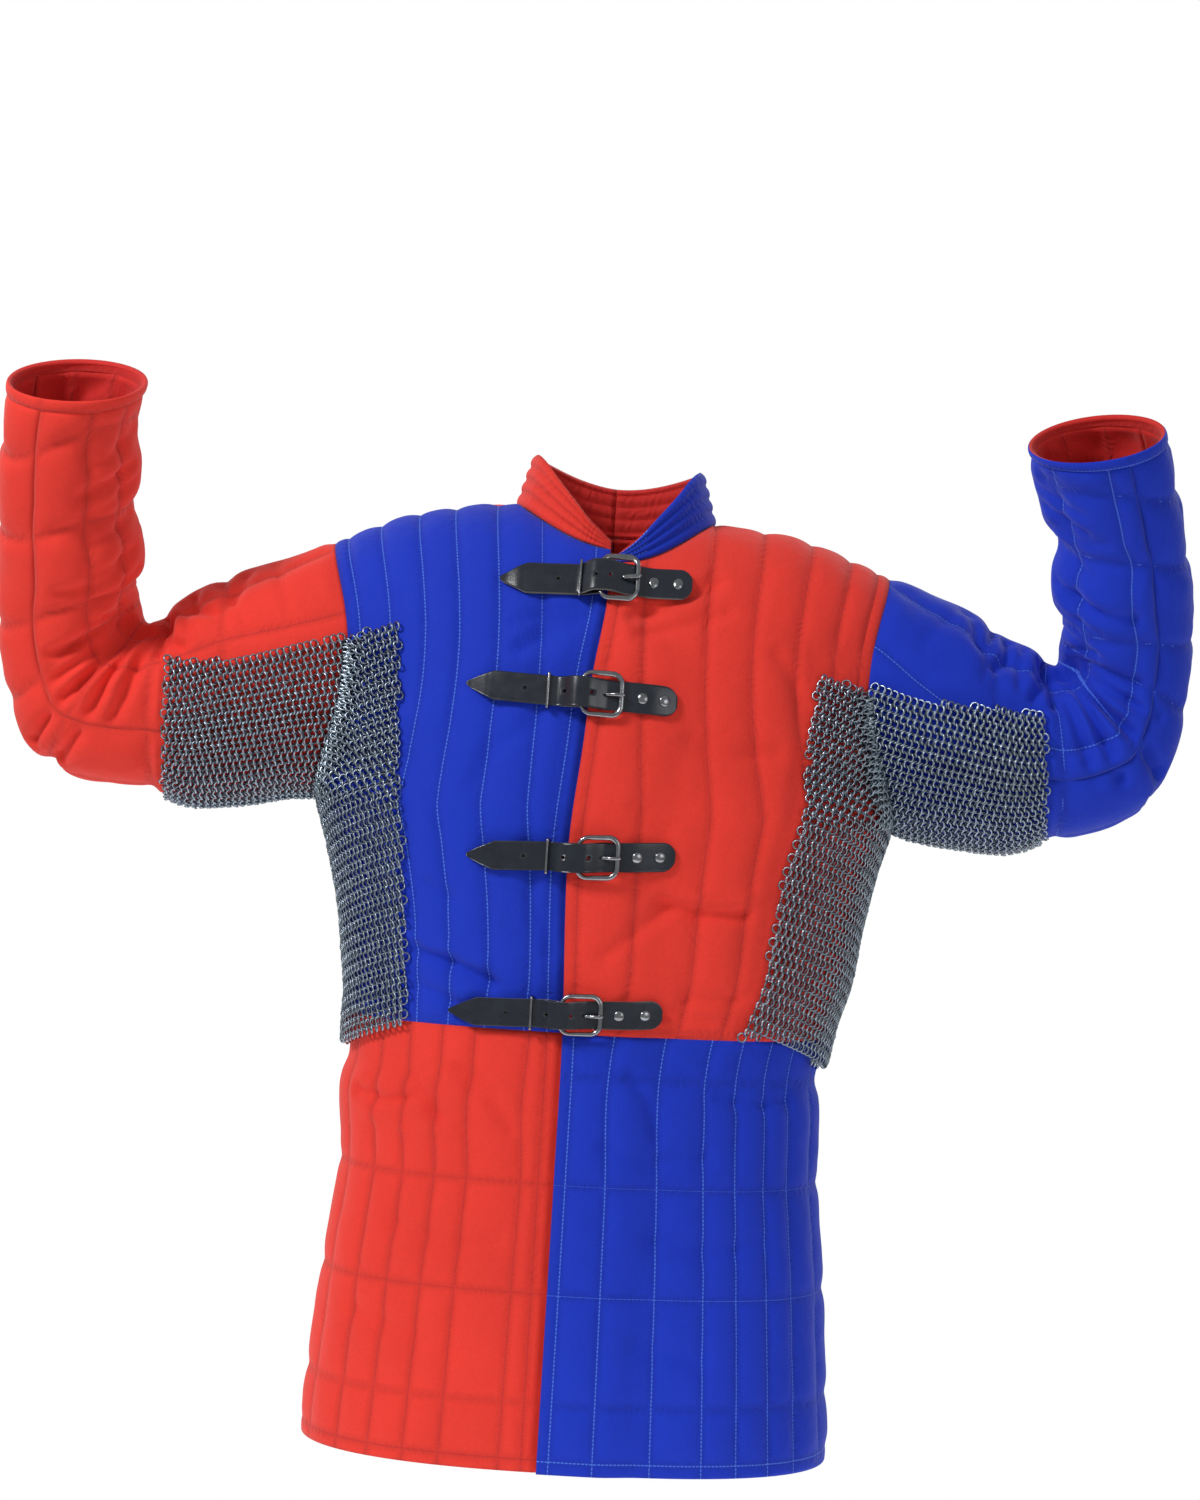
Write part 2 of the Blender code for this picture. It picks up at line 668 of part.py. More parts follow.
def mail_body(name, side, face):
    """Mail over the front or the back of the side, from its edge to the side and the armhole."""
    stops = [t for t in stops_of("front" if face == FRONT else "back", side) if t > 52]
    heights = (38, 76, 116, 156, 197)
    low = len(heights)
    top_angle = track(MAIL_ARM[side], "angle", 0)
    ring = [a for a in RING[::-1] if a > top_angle] + [top_angle]
    high = low + len(ring) - 1

    def column(i, edge):
        return (edge, (edge + stops[0]) / 2, *stops)[i]

    def place(i, j):
        if j <= low:
            z = WAIST_Z + (heights[j - 1] if j else -20)
            t = column(i, track(MAIL_EDGE[side], "angle", z))
            return t, (z if j else mail_bottom(side, t)) - ARMPIT_Z
        share = climb_share(face, ring[j - low]) / climb_share(face, top_angle)
        edge = track(MAIL_EDGE[side], "angle", ARMPIT_Z + (MAIL_TOP[side][0] - ARMPIT_Z) * share)
        t = column(i, edge)
        f = (t - edge) / (90 - edge)
        end = 90 * climb_share(face, top_angle)
        end = climb(side, face, t, MAIL_TOP[side][0]) * (1 - f) + end * f
        return t, end * share

    def point(i, j, outside):
        t, g = place(i, j)
        p, n = body(side, face, t, g), body_normal(side, face, t, g)
        if t >= 90 and g >= 0:
            n = mitre(side, face, g)
        elif t >= 90:
            n = Vector((side, 0, 0))
        flare = 3.5 * ease((WAIST_Z + 30 - p.z) / 50)
        return p + n * ((MAIL_OUT if outside else MAIL_IN) + flare) + Vector((side * SEAM, face * SEAM, 0))

    return wall(name, len(stops) + 1, high, point, "mail")


def mail_sleeve(name, side):
    """Mail round the lower part of the upper arm."""
    pairs = [(a, b) for a, b in sleeve_angles(side) if 84.5 < a < 247 or a == -90 or a == -112.5]
    pairs = [(a % 360, b % 360) for a, b in pairs]
    pairs = sorted(set(pairs))

    def point(i, j, outside):
        row = j
        top = track(MAIL_ARM[side], "angle", row)
        run = [sleeve_angle(pair, row) for pair in pairs]
        angle = [top, (top + run[0]) / 2, *run, (360 - top + run[-1]) / 2, 360 - top][i]
        p = arm(side, angle, row)
        if row == 0:
            face = FRONT if angle > 180 else BACK
            n = mitre(side, face, 90 * climb_share(face, angle))
        else:
            n = arm_normal(side, angle, row)
        return p + n * (MAIL_OUT if outside else MAIL_IN) + Vector((side * 4 * SEAM, 0, 0))

    return wall(name, len(pairs) + 3, MAIL_ROWS, point, "mail")


def front_at(x, z):
    """The plain front of the body under the closures, with its normal."""
    side = LEFT if x >= track(BODY, "shift", z) else RIGHT
    if z <= ARMPIT_Z:
        g = z - ARMPIT_Z
        t = angle_at(side, FRONT, z, x)
    else:
        low, high = 0.0, 90.0
        for _ in range(30):
            g = (low + high) / 2
            t = angle_at(side, FRONT, z, x)
            if body(side, FRONT, t, g).z < z:
                low = g
            else:
                high = g
    return body(side, FRONT, t, g), body_normal(side, FRONT, t, g)


class Closure:
    """Places given along, across and off the front at one of the straps."""

    def __init__(self, i):
        self.row = {name: values[i] for name, values in CLOSURES.items()}

    def at(self, along, across, off):
        z = self.row["z"] + self.row["slope"] * (along - self.row["bar"]) + across
        p, n = front_at(along, z)
        return p + n * off

    def lapped(self, along):
        """How far off the front the lapping cloth's channels come here."""
        z = self.row["z"] + self.row["slope"] * (along - self.row["bar"])
        return max(lap_rise(along, z + b) for b in (-14, 0, 14)) + PUFF + 0.7

    def tab(self, along):
        """The inner face of the tab, which lies on the front below and rises to the bar."""
        bar = self.row["bar"]
        edge = track(EDGE, "x", self.row["z"])
        flat = PUFF + (0.4 if self.row["number"] == 1 else 0.7)
        over = flat + 3.6 * ease((along - bar + 16) / 14)
        return max(over, flat + (self.lapped(along) + 0.3 - flat) * ease((along - edge + 17) / 14))

    def strap(self, along):
        """The inner face of the long strap."""
        bar = self.row["bar"]
        over_bar = self.tab(bar) + TAB_THICK + 2 * WIRE + 0.9
        if along <= bar:
            lying = self.tab(along) + TAB_THICK + 0.4
            tip = PUFF + 0.9 + (TAB_THICK) * ease((along - self.row["tip"] - 4) / 14)
            lying = min(lying, tip + 10) if along > self.row["tip"] + 20 else tip
            return lying + (over_bar - lying) * ease((along - bar + 22) / 19)
        lap = self.lapped(along)
        return lap + max(over_bar - lap, 0) * (1 - ease((along - bar - 4) / 20))


def ribbon(name, stops, half, inner, thick, closure, colour):
    """A flat strip of leather along a closure."""

    def point(i, j, outside):
        along = stops[i]
        return closure.at(along, half(along) * (-1, 0, 1)[j], inner(along) + (thick if outside else 0))

    return wall(name, len(stops) - 1, 2, point, colour)


def rod(name, path, radius, closure, cyclic, sides=6):
    """A bent wire along places on a closure."""
    curve = bpy.data.curves.new(name, "CURVE")
    curve.dimensions = "3D"
    spline = curve.splines.new("POLY")
    spline.points.add(len(path) - 1)
    for knot, (along, across, off, size) in zip(spline.points, path):
        knot.co = (along, across, off, 1)
        knot.radius = size
    spline.use_cyclic_u = cyclic
    curve.bevel_depth = radius
    curve.bevel_resolution = (sides - 4) // 2
    curve.use_fill_caps = not cyclic
    carrier = bpy.data.objects.new(name, curve)
    mesh = bpy.data.meshes.new_from_object(carrier)
    bpy.data.objects.remove(carrier)
    bm = bmesh.new()
    bm.from_mesh(mesh)
    bpy.data.meshes.remove(mesh)
    bmesh.ops.remove_doubles(bm, verts=bm.verts, dist=1e-4)
    for v in bm.verts:
        v.co = closure.at(*v.co) * MM
    return add(name, bm, "nickel")


def rounded(x0, x1, half, corner, off, steps=3):
    """A rounded frame from x0 to x1, with its places off the front given by off(x)."""
    path = []
    for cx, cy, turn in ((x1 - corner, half - corner, 0), (x0 + corner, half - corner, 90),
                         (x0 + corner, corner - half, 180), (x1 - corner, corner - half, 270)):
        for k in range(steps + 1):
            a = math.radians(turn + 90 * k / steps)
            x = cx + corner * math.cos(a)
            path.append((x, cy + corner * math.sin(a), off(x), 1.0))
    return path


def build_closure(i):
    c = Closure(i)
    row = c.row
    n, bar, tip, end, keeper = int(row["number"]), row["bar"], row["tip"], row["end"], row["keeper"]
    bow = bar + 34.0
    stops = [tip, tip + 7, tip + 15, tip + 24]
    stops += [tip + 24 + (bar - 20 - tip - 24) * k / 3 for k in (1, 2, 3)]
    stops += [bar - 13, bar - 7, bar, bar + 5, bar + 11, bar + 18, bar + 26, bow + 2]
    for place in (row["rivet_a"], row["rivet_b"]):
        stops += [place - 5, place + 5]
    stops = sorted({s for s in stops + [keeper, end - 3, end] if not 0 < abs(s - keeper) < 4})
    stops = [s for k, s in enumerate(stops) if k == 0 or s - stops[k - 1] > 1.5]

    def half(along):
        point_share = min((along - tip) / 24, 1)
        tail = max(along - (end - 8), 0) / 8
        return STRAP_HALF * (0.08 + 0.92 * point_share ** 0.85) * (1 - 0.45 * tail**2)

    def lying(along):
        k = min(max(bisect(stops, along) - 1, 0), len(stops) - 2)
        f = (along - stops[k]) / (stops[k + 1] - stops[k])
        return c.strap(stops[k]) * (1 - f) + c.strap(stops[k + 1]) * f

    ribbon(f"strap_{n}", stops, half, c.strap, STRAP_THICK, c, "leather")
    reach = tip + 26
    tab_stops = [reach] + [s for s in stops if reach + 3 < s <= bar]
    ribbon(f"tab_{n}", tab_stops, lambda along: STRAP_HALF - 0.4, c.tab, TAB_THICK, c, "leather")

    bar_off = c.tab(bar) + TAB_THICK + 0.4 + WIRE
    bow_off = c.strap(bow) + STRAP_THICK + 0.5 + WIRE

    def off(x):
        return bar_off + (bow_off - bar_off) * ease((x - bar) / (bow - bar))

    rod(f"buckle_{n}", rounded(bar, bow, 17.5, 8.5, off), WIRE, c, True)
    top = bow_off + WIRE + 1.5
    rod(
        f"prong_{n}",
        [(bow - 13, 0, max(c.strap(bow - 13) + STRAP_THICK + 1.9, top - 5), 1), (bow - 7, 0, top - 0.6, 1),
         (bow, 0, top + 0.3, 0.9), (bow + 3, 0, top + 0.1, 0.5)],
        1.5, c, False,
    )
    k_top = c.strap(keeper) + STRAP_THICK + 0.6 + 1.3
    k_low = c.tab(keeper) - 0.35 - 1.0
    h = STRAP_HALF + 2.2
    rod(
        f"keeper_{n}",
        [(keeper, -h, k_top - 1, 1), (keeper, -h + 1.2, k_top, 1), (keeper, 0, k_top, 1), (keeper, h - 1.2, k_top, 1),
         (keeper, h, k_top - 1, 1), (keeper, h, k_low + 1, 0.7), (keeper, h - 1.2, k_low, 0.7), (keeper, 0, k_low, 0.7),
         (keeper, -h + 1.2, k_low, 0.7), (keeper, -h, k_low + 1, 0.7)],
        1.3, c, True,
    )
    for m, place in ((1, row["rivet_a"]), (2, row["rivet_b"])):
        bm = bmesh.new()
        bmesh.ops.create_uvsphere(bm, u_segments=10, v_segments=6, radius=4.9)
        bmesh.ops.bisect_plane(
            bm, geom=[*bm.verts, *bm.edges, *bm.faces], plane_co=(0, 0, 0.4), plane_no=(0, 0, 1), clear_inner=True
        )
        bmesh.ops.holes_fill(bm, edges=bm.edges)
        for v in bm.verts:
            seat = lying(place + v.co.x) + STRAP_THICK + 0.3
            v.co = c.at(place + v.co.x, v.co.y, seat + (v.co.z - 0.4) * 0.5) * MM
        add(f"rivet_{n}_{m}", bm, "nickel")


torso_panel("front_right", RIGHT, FRONT, "blue")
torso_panel("front_left", LEFT, FRONT, "red")
torso_panel("back_right", RIGHT, BACK, "red")
torso_panel("back_left", LEFT, BACK, "blue")
skirt_panel("skirt_front_right", RIGHT, FRONT, "red")
skirt_panel("skirt_front_left", LEFT, FRONT, "blue")
skirt_panel("skirt_back_right", RIGHT, BACK, "blue")
skirt_panel("skirt_back_left", LEFT, BACK, "red")
for word, side, colour in (("right", RIGHT, "red"), ("left", LEFT, "blue")):
    collar(f"collar_{word}", side, colour)
    sleeve_part(f"sleeve_{word}_main", side, 0, 11, SLEEVE_LINES[side], colour)
    sleeve_part(f"sleeve_{word}_under", side, 11, 16, (UNDER_LINE,), colour)
    cuff(f"cuff_{word}", side, colour)
    mail_body(f"mail_{word}_front", side, FRONT)
    mail_body(f"mail_{word}_back", side, BACK)
    mail_sleeve(f"mail_{word}_sleeve", side)
for i in range(4):
    build_closure(i)
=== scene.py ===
"""A quartered padded arming coat with mail gussets under the arms, dressed for its photograph.

The coat's shapes are given in millimetres, as in the CAD part, and made in metres.
"""
import math
from bisect import bisect
from functools import lru_cache

import bmesh
import bpy
import numpy as np
from mathutils import Matrix, Vector, noise


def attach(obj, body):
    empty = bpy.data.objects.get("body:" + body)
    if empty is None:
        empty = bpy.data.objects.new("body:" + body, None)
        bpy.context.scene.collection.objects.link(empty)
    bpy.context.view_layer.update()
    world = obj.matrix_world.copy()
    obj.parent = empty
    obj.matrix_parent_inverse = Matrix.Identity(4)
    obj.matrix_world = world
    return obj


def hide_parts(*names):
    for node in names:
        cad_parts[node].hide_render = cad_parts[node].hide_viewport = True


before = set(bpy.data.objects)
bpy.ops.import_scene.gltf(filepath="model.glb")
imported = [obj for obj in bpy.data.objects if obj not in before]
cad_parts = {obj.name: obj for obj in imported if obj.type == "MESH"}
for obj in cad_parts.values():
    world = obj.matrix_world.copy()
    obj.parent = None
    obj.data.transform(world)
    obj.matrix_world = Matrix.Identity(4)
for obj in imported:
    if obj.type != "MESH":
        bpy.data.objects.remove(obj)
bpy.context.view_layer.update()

# The camera stands three metres before the coat at chest height, a little rolled, with a long lens that
# keeps the sleeves' ends in the frame. Seen from there the coat is level and turned straight to the lens.
roll = math.radians(3.3)
sight_right = Vector((math.cos(roll), 0, math.sin(roll)))
sight_up = Vector((-math.sin(roll), 0, math.cos(roll)))
camera = bpy.data.cameras.new("camera")
camera.sensor_width, camera.lens = 36.0, 78.3
tripod = bpy.data.objects.new("camera", camera)
bpy.context.scene.collection.objects.link(tripod)
tripod.matrix_world = Matrix.Translation((-0.0025, -3.0, -0.212)) @ Matrix(
    (sight_right, sight_up, sight_right.cross(sight_up))
).transposed().to_4x4()
bpy.context.scene.camera = tripod

# The studio is a pale floor under a white sky, with a bright lamp to the left of the camera, a weaker
# one to the right and two behind, so that the channels shade softly from every side.
bpy.context.scene.view_settings.view_transform = "Standard"


def add_node(tree, kind, inputs=(), **settings):
    """A shader node with its settings, and its inputs given as values or as other nodes' outputs."""
    made = tree.nodes.new(kind)
    for key, value in settings.items():
        setattr(made, key, value)
    for key, value in dict(inputs).items():
        if isinstance(value, bpy.types.NodeSocket):
            tree.links.new(value, made.inputs[key])
        else:
            made.inputs[key].default_value = value
    return made


def ramp(tree, value, low, high, start, end, **settings):
    """A value taken from the range low to high over to the range start to end."""
    limits = {"Value": value, "From Min": low, "From Max": high, "To Min": start, "To Max": end}
    return add_node(tree, "ShaderNodeMapRange", limits, **settings).outputs["Result"]


sky = bpy.data.worlds.new("studio")
sky.use_nodes = True
bpy.context.scene.world = sky
seen = add_node(sky.node_tree, "ShaderNodeLightPath").outputs["Is Camera Ray"]
strength = ramp(sky.node_tree, seen, 0.0, 1.0, 0.31, 1.0)
sky.node_tree.nodes["Background"].inputs["Color"].default_value = (1, 1, 1, 1)
sky.node_tree.links.new(strength, sky.node_tree.nodes["Background"].inputs["Strength"])

for lamp, place, size, watts in (
    ("key", (-2.3, -2.0, 1.9), 0.8, 82),
    ("fill", (2.2, -2.4, 0.3), 1.8, 15),
    ("rear_left", (1.8, 2.4, 1.2), 1.6, 26),
    ("rear_right", (-2.0, 2.2, 0.9), 1.6, 22),
):
    light = bpy.data.lights.new(lamp, "AREA")
    light.energy, light.size = watts, size
    carrier = bpy.data.objects.new(lamp, light)
    carrier.location = place
    carrier.rotation_euler = (Vector((0, 0, -0.3)) - Vector(place)).to_track_quat("-Z", "Y").to_euler()
    bpy.context.scene.collection.objects.link(carrier)

floor_mesh = bmesh.new()
bmesh.ops.create_circle(floor_mesh, cap_ends=True, segments=96, radius=1.35)
bmesh.ops.translate(floor_mesh, verts=floor_mesh.verts, vec=(0, 0, -1.25))
floor_data = bpy.data.meshes.new("floor")
floor_mesh.to_mesh(floor_data)
floor_mesh.free()
floor = bpy.data.objects.new("floor", floor_data)
bpy.context.scene.collection.objects.link(floor)
paper = bpy.data.materials.new("studio_paper")
paper.use_nodes = True
for socket, value in (
    ("Base Color", (0.93, 0.93, 0.93, 1)), ("Roughness", 0.9),
    ("Emission Color", (1, 1, 1, 1)), ("Emission Strength", 0.5),
):
    paper.node_tree.nodes["Principled BSDF"].inputs[socket].default_value = value
floor_data.materials.append(paper)

# The body's four quarters are cotton over wadding, lined in red and quilted in upright channels. They are
# cut to the waist, joined at the sides and shoulders, and the coat's left front laps over its right.
MM = 0.001
PUFF, WALL = 3.4, 5.0
COLUMN_GAP = 3.7  # between the mesh's columns
FULL_CHANNEL = 27.0  # the width from which a channel puffs up fully
FOLD_WIDTH, FOLD_DEPTH = 0.8, 1.9
HIDDEN, UNDER_MAIL = 0.25, 0.3  # how far the edge under the lap and the cloth under mail still puff up
CROSS_REACH, END_REACH, EDGE_REACH = 8.5, 8.0, 16.0  # from cross stitching, ends and edges to full puff
FAR = 900.0  # further than any place on a piece
NO_CAP = 99.0
FRONT_CAP = PUFF + 0.35  # straps lie on the fronts
LAP_RISE, LAP = 7.4, 46.0
WAIST_Z, ARMPIT_Z, HEM_Z = -462.0, -265.0, -845.0
ROUND, SIDE_ROUND = 2.5, 2.4
ARM_HALF, NECK_HALF = 88.0, 90.0
RIGHT, LEFT = -1, 1
FRONT, BACK = -1, 1
NECK_TURN = {RIGHT: 15.85, LEFT: 16.3}  # the column at which the neckline meets the shoulder's top
RED, BLUE = (0.87, 0.044, 0.028), (0.006, 0.036, 0.55)


def table(names, *rows):
    """Columns by name; the first one is what the others are looked up by."""
    return {name: [row[i] for row in rows] for i, name in enumerate(names.split())}


BODY = table(
    "z half shift front back",
    (HEM_Z, 240, 0, 153, 152), (-760, 233, 0, 149, 147), (-670, 225, 0, 145, 141),
    (-590, 216, 0, 140, 136), (-530, 217, -3, 139, 134), (-500, 213, -2, 136, 130),
    (WAIST_Z, 217, 1, 133, 126), (-415, 227, 6, 137, 127), (-360, 235, 6, 142, 130),
    (-310, 246, 5, 147, 133), (ARMPIT_Z, 258, 4, 150, 136), (-200, 258, 2, 150, 138),
    (-40, 255, -1, 150, 138),
)
RIDGE = table(
    "x z",
    (-256, -37), (-232, -27), (-195, -11), (-166, -4), (-136, 2), (-92, 7),
    (90, -1), (110, -4), (161, -9), (195, -19), (227, -31), (254, -41),
)
EDGE = table(
    "z x",
    (HEM_Z, -22), (-570, -21), (-460, -21), (-300, -25), (-204, -17), (-147, -13), (-80, -4), (-30, -3),
)
NECK_DEPTH = {(FRONT, RIGHT): 87, (FRONT, LEFT): 97, (BACK, RIGHT): 75, (BACK, LEFT): 75}
SHOULDER_ROUND = {FRONT: 2.3, BACK: 3.0}
ARMHOLE_HOLLOW = {FRONT: 23.0, BACK: 11.0}
MAIL_EDGE = {
    RIGHT: table(
        "z angle",
        (-480, 42), (-440, 42), (-400, 42), (-350, 41.5), (-266, 39), (-180, 45), (-110, 49),
    ),
    LEFT: table(
        "z angle",
        (-480, 31), (-458, 32), (-415, 34), (-361, 35), (-290, 35.5), (-228, 40), (-175, 45), (-133, 48),
    ),
}
MAIL_TOP = {RIGHT: (-108, -129), LEFT: (-132, -151)}


def track(rows, column, x):
    """A smooth curve through one column of a table."""
    keys, values = list(rows.values())[0], rows[column]
    x = min(max(x, keys[0]), keys[-1])
    i = min(max(bisect(keys, x) - 1, 0), len(keys) - 2)

    def slope(j):
        a, b = max(j - 1, 0), min(j + 1, len(keys) - 1)
        return (values[b] - values[a]) / (keys[b] - keys[a])

    gap = keys[i + 1] - keys[i]
    s = (x - keys[i]) / gap
    return (
        values[i] * (1 + 2 * s) * (1 - s) ** 2
        + values[i + 1] * s * s * (3 - 2 * s)
        + gap * (slope(i) * s * (1 - s) ** 2 - slope(i + 1) * s * s * (1 - s))
    )


def ease(x):
    x = min(max(x, 0.0), 1.0)
    return x * x * (3 - 2 * x)


def power(x, p):
    return math.copysign(abs(x) ** p, x)


def armhole_x(face, h):
    """How far in the armhole cuts at the height h, from 0 at the armpit to 1 at the shoulder."""
    return -4 * h - ARMHOLE_HOLLOW[face] * math.sin(math.pi * min(max(h, 0), 1)) ** 1.2


@lru_cache(maxsize=None)
def level(z):
    """The body's section at a height under the armpit."""
    return tuple(track(BODY, column, z) for column in ("half", "shift", "front", "back"))


ARMPIT_LEVEL = level(ARMPIT_Z)


def body(side, face, t, g):
    """The body's surface in millimetres: t goes round from the middle, 0, to the side, 90; g is millimetres
    under the armpit's height where it is negative, and above that the angle up over the shoulder."""
    across = power(math.sin(math.radians(t)), 2 / ROUND)
    deep = max(math.cos(math.radians(t)), 0.0) ** (2 / ROUND)
    if g <= 0:
        half, shift, front, back = level(ARMPIT_Z + g)
        depth = front if face == FRONT else back
        return Vector((shift + side * half * across, face * depth * deep, ARMPIT_Z + g))
    up = SHOULDER_ROUND[face]
    h = math.sin(math.radians(min(g, 90))) ** (2 / up)
    shift = level(round(ARMPIT_Z + h * (-38 - ARMPIT_Z), 2))[1]
    x = shift + side * (ARMPIT_LEVEL[0] + armhole_x(face, h)) * across
    z = ARMPIT_Z + h * (track(RIDGE, "z", x) - ARMPIT_Z)
    flat = ease(h / 0.4)
    reach = (1 - flat) * deep + flat * (1 - abs(across) ** SIDE_ROUND)
    arm_out = ARM_HALF * math.sqrt(max(1 - (2 * h - 1) ** 2, 0))
    arm_out *= abs(across) ** 14 * (1 - ease(h / 0.3)) + ease(h / 0.3)
    middle = ARMPIT_LEVEL[2 if face == FRONT else 3] * max(1 - h**up, 0) ** (1 / up)
    return Vector((x, face * (arm_out * (1 - reach) + middle * reach), z))


def body_normal(side, face, t, g):
    along = body(side, face, min(t + 0.4, 90), g) - body(side, face, t - 0.4, g)
    up = body(side, face, t, min(g + 1.0, 90)) - body(side, face, t, g - 1.0)
    n = along.cross(up) * (-side * face)
    return n.normalized() if n.length > 1e-9 else Vector((side, 0, 0))


def angle_at(side, face, z, x):
    """The angle t at which the body's section at the height z is at x."""
    g = z - ARMPIT_Z
    half = track(BODY, "half", z) if g <= 0 else ARMPIT_LEVEL[0] + armhole_x(face, g / 227)
    q = min(max(side * (x - track(BODY, "shift", z)) / half, -1), 1)
    return math.degrees(math.asin(power(q, ROUND / 2)))


def climb(side, face, t, height):
    """The angle g at which the column t comes to a height above the armpit."""
    low, high = 0.0, 90.0
    for _ in range(22):
        mid = (low + high) / 2
        low, high = (mid, high) if body(side, face, t, mid).z < height else (low, mid)
    return (low + high) / 2


def at_height(side, face, t, z):
    g = z - ARMPIT_Z if z <= ARMPIT_Z else climb(side, face, t, z)
    return body(side, face, t, g), body_normal(side, face, t, g)


@lru_cache(maxsize=None)
def neck(side, face, t):
    """The angle g at which the column t meets the neckline, or 90 past the neck."""
    low, high = 30.0, 90.0
    for _ in range(30):
        mid = (low + high) / 2
        p = body(side, face, t, mid)
        inside = abs(p.x) < NECK_HALF
        inside = inside and abs(p.y) < NECK_DEPTH[face, side] * math.sqrt(1 - (p.x / NECK_HALF) ** 2)
        low, high = (low, mid) if inside else (mid, high)
    return 90.0 if high > 89.9 else high


def climb_share(face, angle):
    """The part of the way over the shoulder at which a row ends at this angle of the armhole."""
    h = (1 + math.cos(math.radians(angle))) / 2
    return math.degrees(math.asin(min(h ** (SHOULDER_ROUND[face] / 2), 1))) / 90


def run_lengths(run):
    """The length of a run of places up to each of them."""
    return np.concatenate([[0], np.cumsum([(b - a).length for a, b in zip(run, run[1:])])])


@lru_cache(maxsize=None)
def even_climb(side, face, rows):
    """Shares of the way over the shoulder at even steps along the cloth."""
    shares = [climb_share(face, 180 - k / 2) for k in range(361)]
    lengths = run_lengths([body(side, face, 38, 90 * share) for share in shares])
    return np.interp(np.linspace(0, lengths[-1], rows + 1), lengths, shares)


def under_edge(z):
    """The hidden edge of the front below."""
    return track(EDGE, "x", z) - 0.8 + LAP * ease((-84 - z) / 60)


def lap_rise(x, z):
    """How far the lapping front stands off, over and past the other's edge."""
    return LAP_RISE * ease((-38 - z) / 34) * (1 - ease((x - under_edge(z) - 4) / 42))


def under_mail(side, t, z):
    """0 under the mail and 1 clear of it."""
    top = MAIL_TOP[side][0] + 14
    if z > top + 20:
        return 1.0
    return max(ease((track(MAIL_EDGE[side], "angle", z) - 1 - t) / 5), ease((z - top) / 20))


def new_material(name):
    """A material with its node tree, its shader and the place that its patterns read."""
    made = bpy.data.materials.new(name)
    made.use_nodes = True
    tree = made.node_tree
    return made, tree, tree.nodes["Principled BSDF"], add_node(tree, "ShaderNodeTexCoord").outputs["Object"]


def spots_of(tree, place, scale, detail, **settings):
    inputs = {"Vector": place, "Scale": scale, "Detail": detail, **settings}
    return add_node(tree, "ShaderNodeTexNoise", inputs).outputs["Fac"]


def raise_surface(tree, shader, strength, distance, height):
    bump = add_node(tree, "ShaderNodeBump", {"Strength": strength, "Distance": distance, "Height": height})
    tree.links.new(bump.outputs["Normal"], shader.inputs["Normal"])


